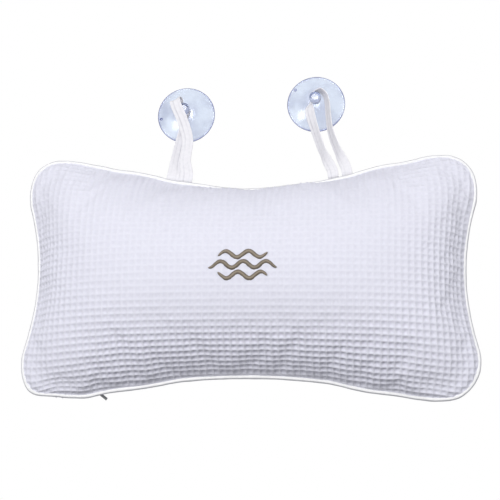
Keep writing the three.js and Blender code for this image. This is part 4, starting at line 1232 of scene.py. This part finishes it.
def make_embroidery():
    """Three rows of waves in satin stitch: threads laid side by side across each wave's line.

    A thread is a four-sided tube of five rings that arches over the cloth from one edge of the row to the
    other, with painted shade that is darkest where it dives into the cloth.
    """
    s = np.linspace(-WAVE_HALF_LENGTH, WAVE_HALF_LENGTH, THREADS)
    rows = []
    for row, (length, offset) in enumerate(WAVE_ROWS):
        x = s * length
        phase = 2 * math.pi * x / WAVE_LENGTH + row * WAVE_LAG
        y = offset + WAVE_HEIGHT * np.sin(phase)
        slope = WAVE_HEIGHT * 2 * math.pi / WAVE_LENGTH * np.cos(phase)
        half = 1.35 * (1 - (s / WAVE_HALF_LENGTH) ** 4) ** 0.5 + 0.25
        rows.append(np.stack([x, y, slope, half], 1))
    x, y, slope, half = np.concatenate(rows).T
    lean = np.stack([-slope, np.ones(slope.shape)], 1) / np.hypot(slope, 1)[:, None]
    across = np.array([-1, -0.6, 0, 0.6, 1])
    arch = np.array([-0.35, 0.35, 0.6, 0.35, -0.35])
    # Painted shade along each thread, darkest at its ends where it dives into the cloth.
    thread_painted_shade = np.array([1, 0.75, 0, 0.75, 1])
    place_x = x[:, None] + lean[:, :1] * half[:, None] * across
    place_y = y[:, None] + lean[:, 1:] * half[:, None] * across
    place_z = front_height(film_share(place_x, place_y)) + arch
    middle = np.stack([place_x, place_y, place_z], -1)
    along = THREAD_RADIUS * np.stack([lean[:, 1], -lean[:, 0], 0 * x], 1)[:, None]
    up = np.array([0, 0, THREAD_RADIUS])
    rings = np.stack([middle + corner for corner in (along, up, -along, -up)], 2)
    tubes = rings.shape[:3]
    one = np.concatenate([grid_faces(5, 4, wrap_columns=True), [[0, 1, 2, 3], [16, 17, 18, 19]]])
    faces = (one[None] + 20 * np.arange(len(x))[:, None, None]).reshape(-1, 4)
    u = np.broadcast_to((np.arange(len(x)) * 0.3)[:, None, None], tubes)
    v = np.broadcast_to((half[:, None] * across)[..., None], tubes)
    uv = np.stack([u, v], -1).reshape(-1, 2)
    piece = put("wave_embroidery", rings.reshape(-1, 3), faces, THREAD, "pillow", uv)
    mark(piece, "painted_shade", np.broadcast_to(thread_painted_shade[:, None], tubes))


# Floor, light and camera


def aimed(back, roll=0):
    """Turn that points an object's -Z against `back` with its Y towards +Y, rolled about its own axis."""
    back = np.array(back, float) / np.linalg.norm(back)
    right = np.cross([0, 1, 0], back)
    right = right / np.linalg.norm(right)
    up = np.cross(back, right)
    tilted_right = math.cos(roll) * right + math.sin(roll) * up
    tilted_up = -math.sin(roll) * right + math.cos(roll) * up
    return Matrix(np.stack([tilted_right, tilted_up, back], 1).tolist())


def put_lamp(name, place, size, power):
    """A square soft box that points at the pillow's middle."""
    lamp = bpy.data.lights.new(name, "AREA")
    lamp.size = size * MM
    lamp.energy = power
    holder = bpy.data.objects.new(name, lamp)
    holder.location = [value * MM for value in place]
    holder.rotation_euler = aimed(np.array(place, float) - LAMP_AIM).to_euler()
    link(holder)
    return holder


def make_stage():
    """A white floor under the pillow, soft lights behind it and to both sides, and an even pale surround."""
    sides = np.array([[-1, -1, 0], [1, -1, 0], [1, 1, 0], [-1, 1, 0]])
    corners = sides * FLOOR_HALF + [0, 0, FLOOR_HEIGHT]
    floor = put("floor", corners, [[0, 1, 2, 3]], floor_material(), closed=False)
    bpy.context.scene.world = surround()
    for lamp in LAMPS:
        put_lamp(*lamp)
    bpy.context.scene.view_settings.view_transform = "Standard"
    return floor


def left_out(name, pieces):
    """A light's collection that leaves the given pieces out."""
    group = bpy.data.collections.new(name)
    for piece in pieces:
        group.objects.link(piece)
    for member in group.collection_objects:
        member.light_linking.link_state = "EXCLUDE"
    return group


def light_bed(floor, clear):
    """A light under the floor for views from below, which the floor doesn't shade.

    It leaves out the clear cups, and the straps that show through them.
    """
    holder = put_lamp(*BED_LAMP)
    holder.visible_camera = False
    holder.light_linking.blocker_collection = left_out("shades_bed_box", [floor])
    holder.light_linking.receiver_collection = left_out("takes_bed_box", clear)


def make_camera():
    """The camera, placed along its own axes from the bed's middle."""
    turn = aimed(CAMERA_BACK, math.radians(CAMERA_ROLL))
    right, up, back = np.array(turn).T
    camera = bpy.data.cameras.new("camera")
    camera.lens = CAMERA_LENS
    camera.sensor_width = 36
    camera.clip_end = 20
    holder = bpy.data.objects.new("camera", camera)
    holder.location = (back * CAMERA_DISTANCE + right * CAMERA_SHIFT_X + up * CAMERA_SHIFT_Y) * MM
    holder.rotation_euler = turn.to_euler()
    link(holder)
    bpy.context.scene.camera = holder


make_camera()
floor = make_stage()
make_cover()
make_insides()
make_piping()
make_zip_tapes()
dress_nodes()
cups = make_cups()
left_tape = make_strap("left", LEFT_LEG_PITCH, LEFT_ROOT_WIDTH, left_stops)
right_tape = make_strap("right", RIGHT_LEG_PITCH, RIGHT_ROOT_WIDTH, right_stops)
light_bed(floor, [*cups, left_tape, right_tape])
make_embroidery()
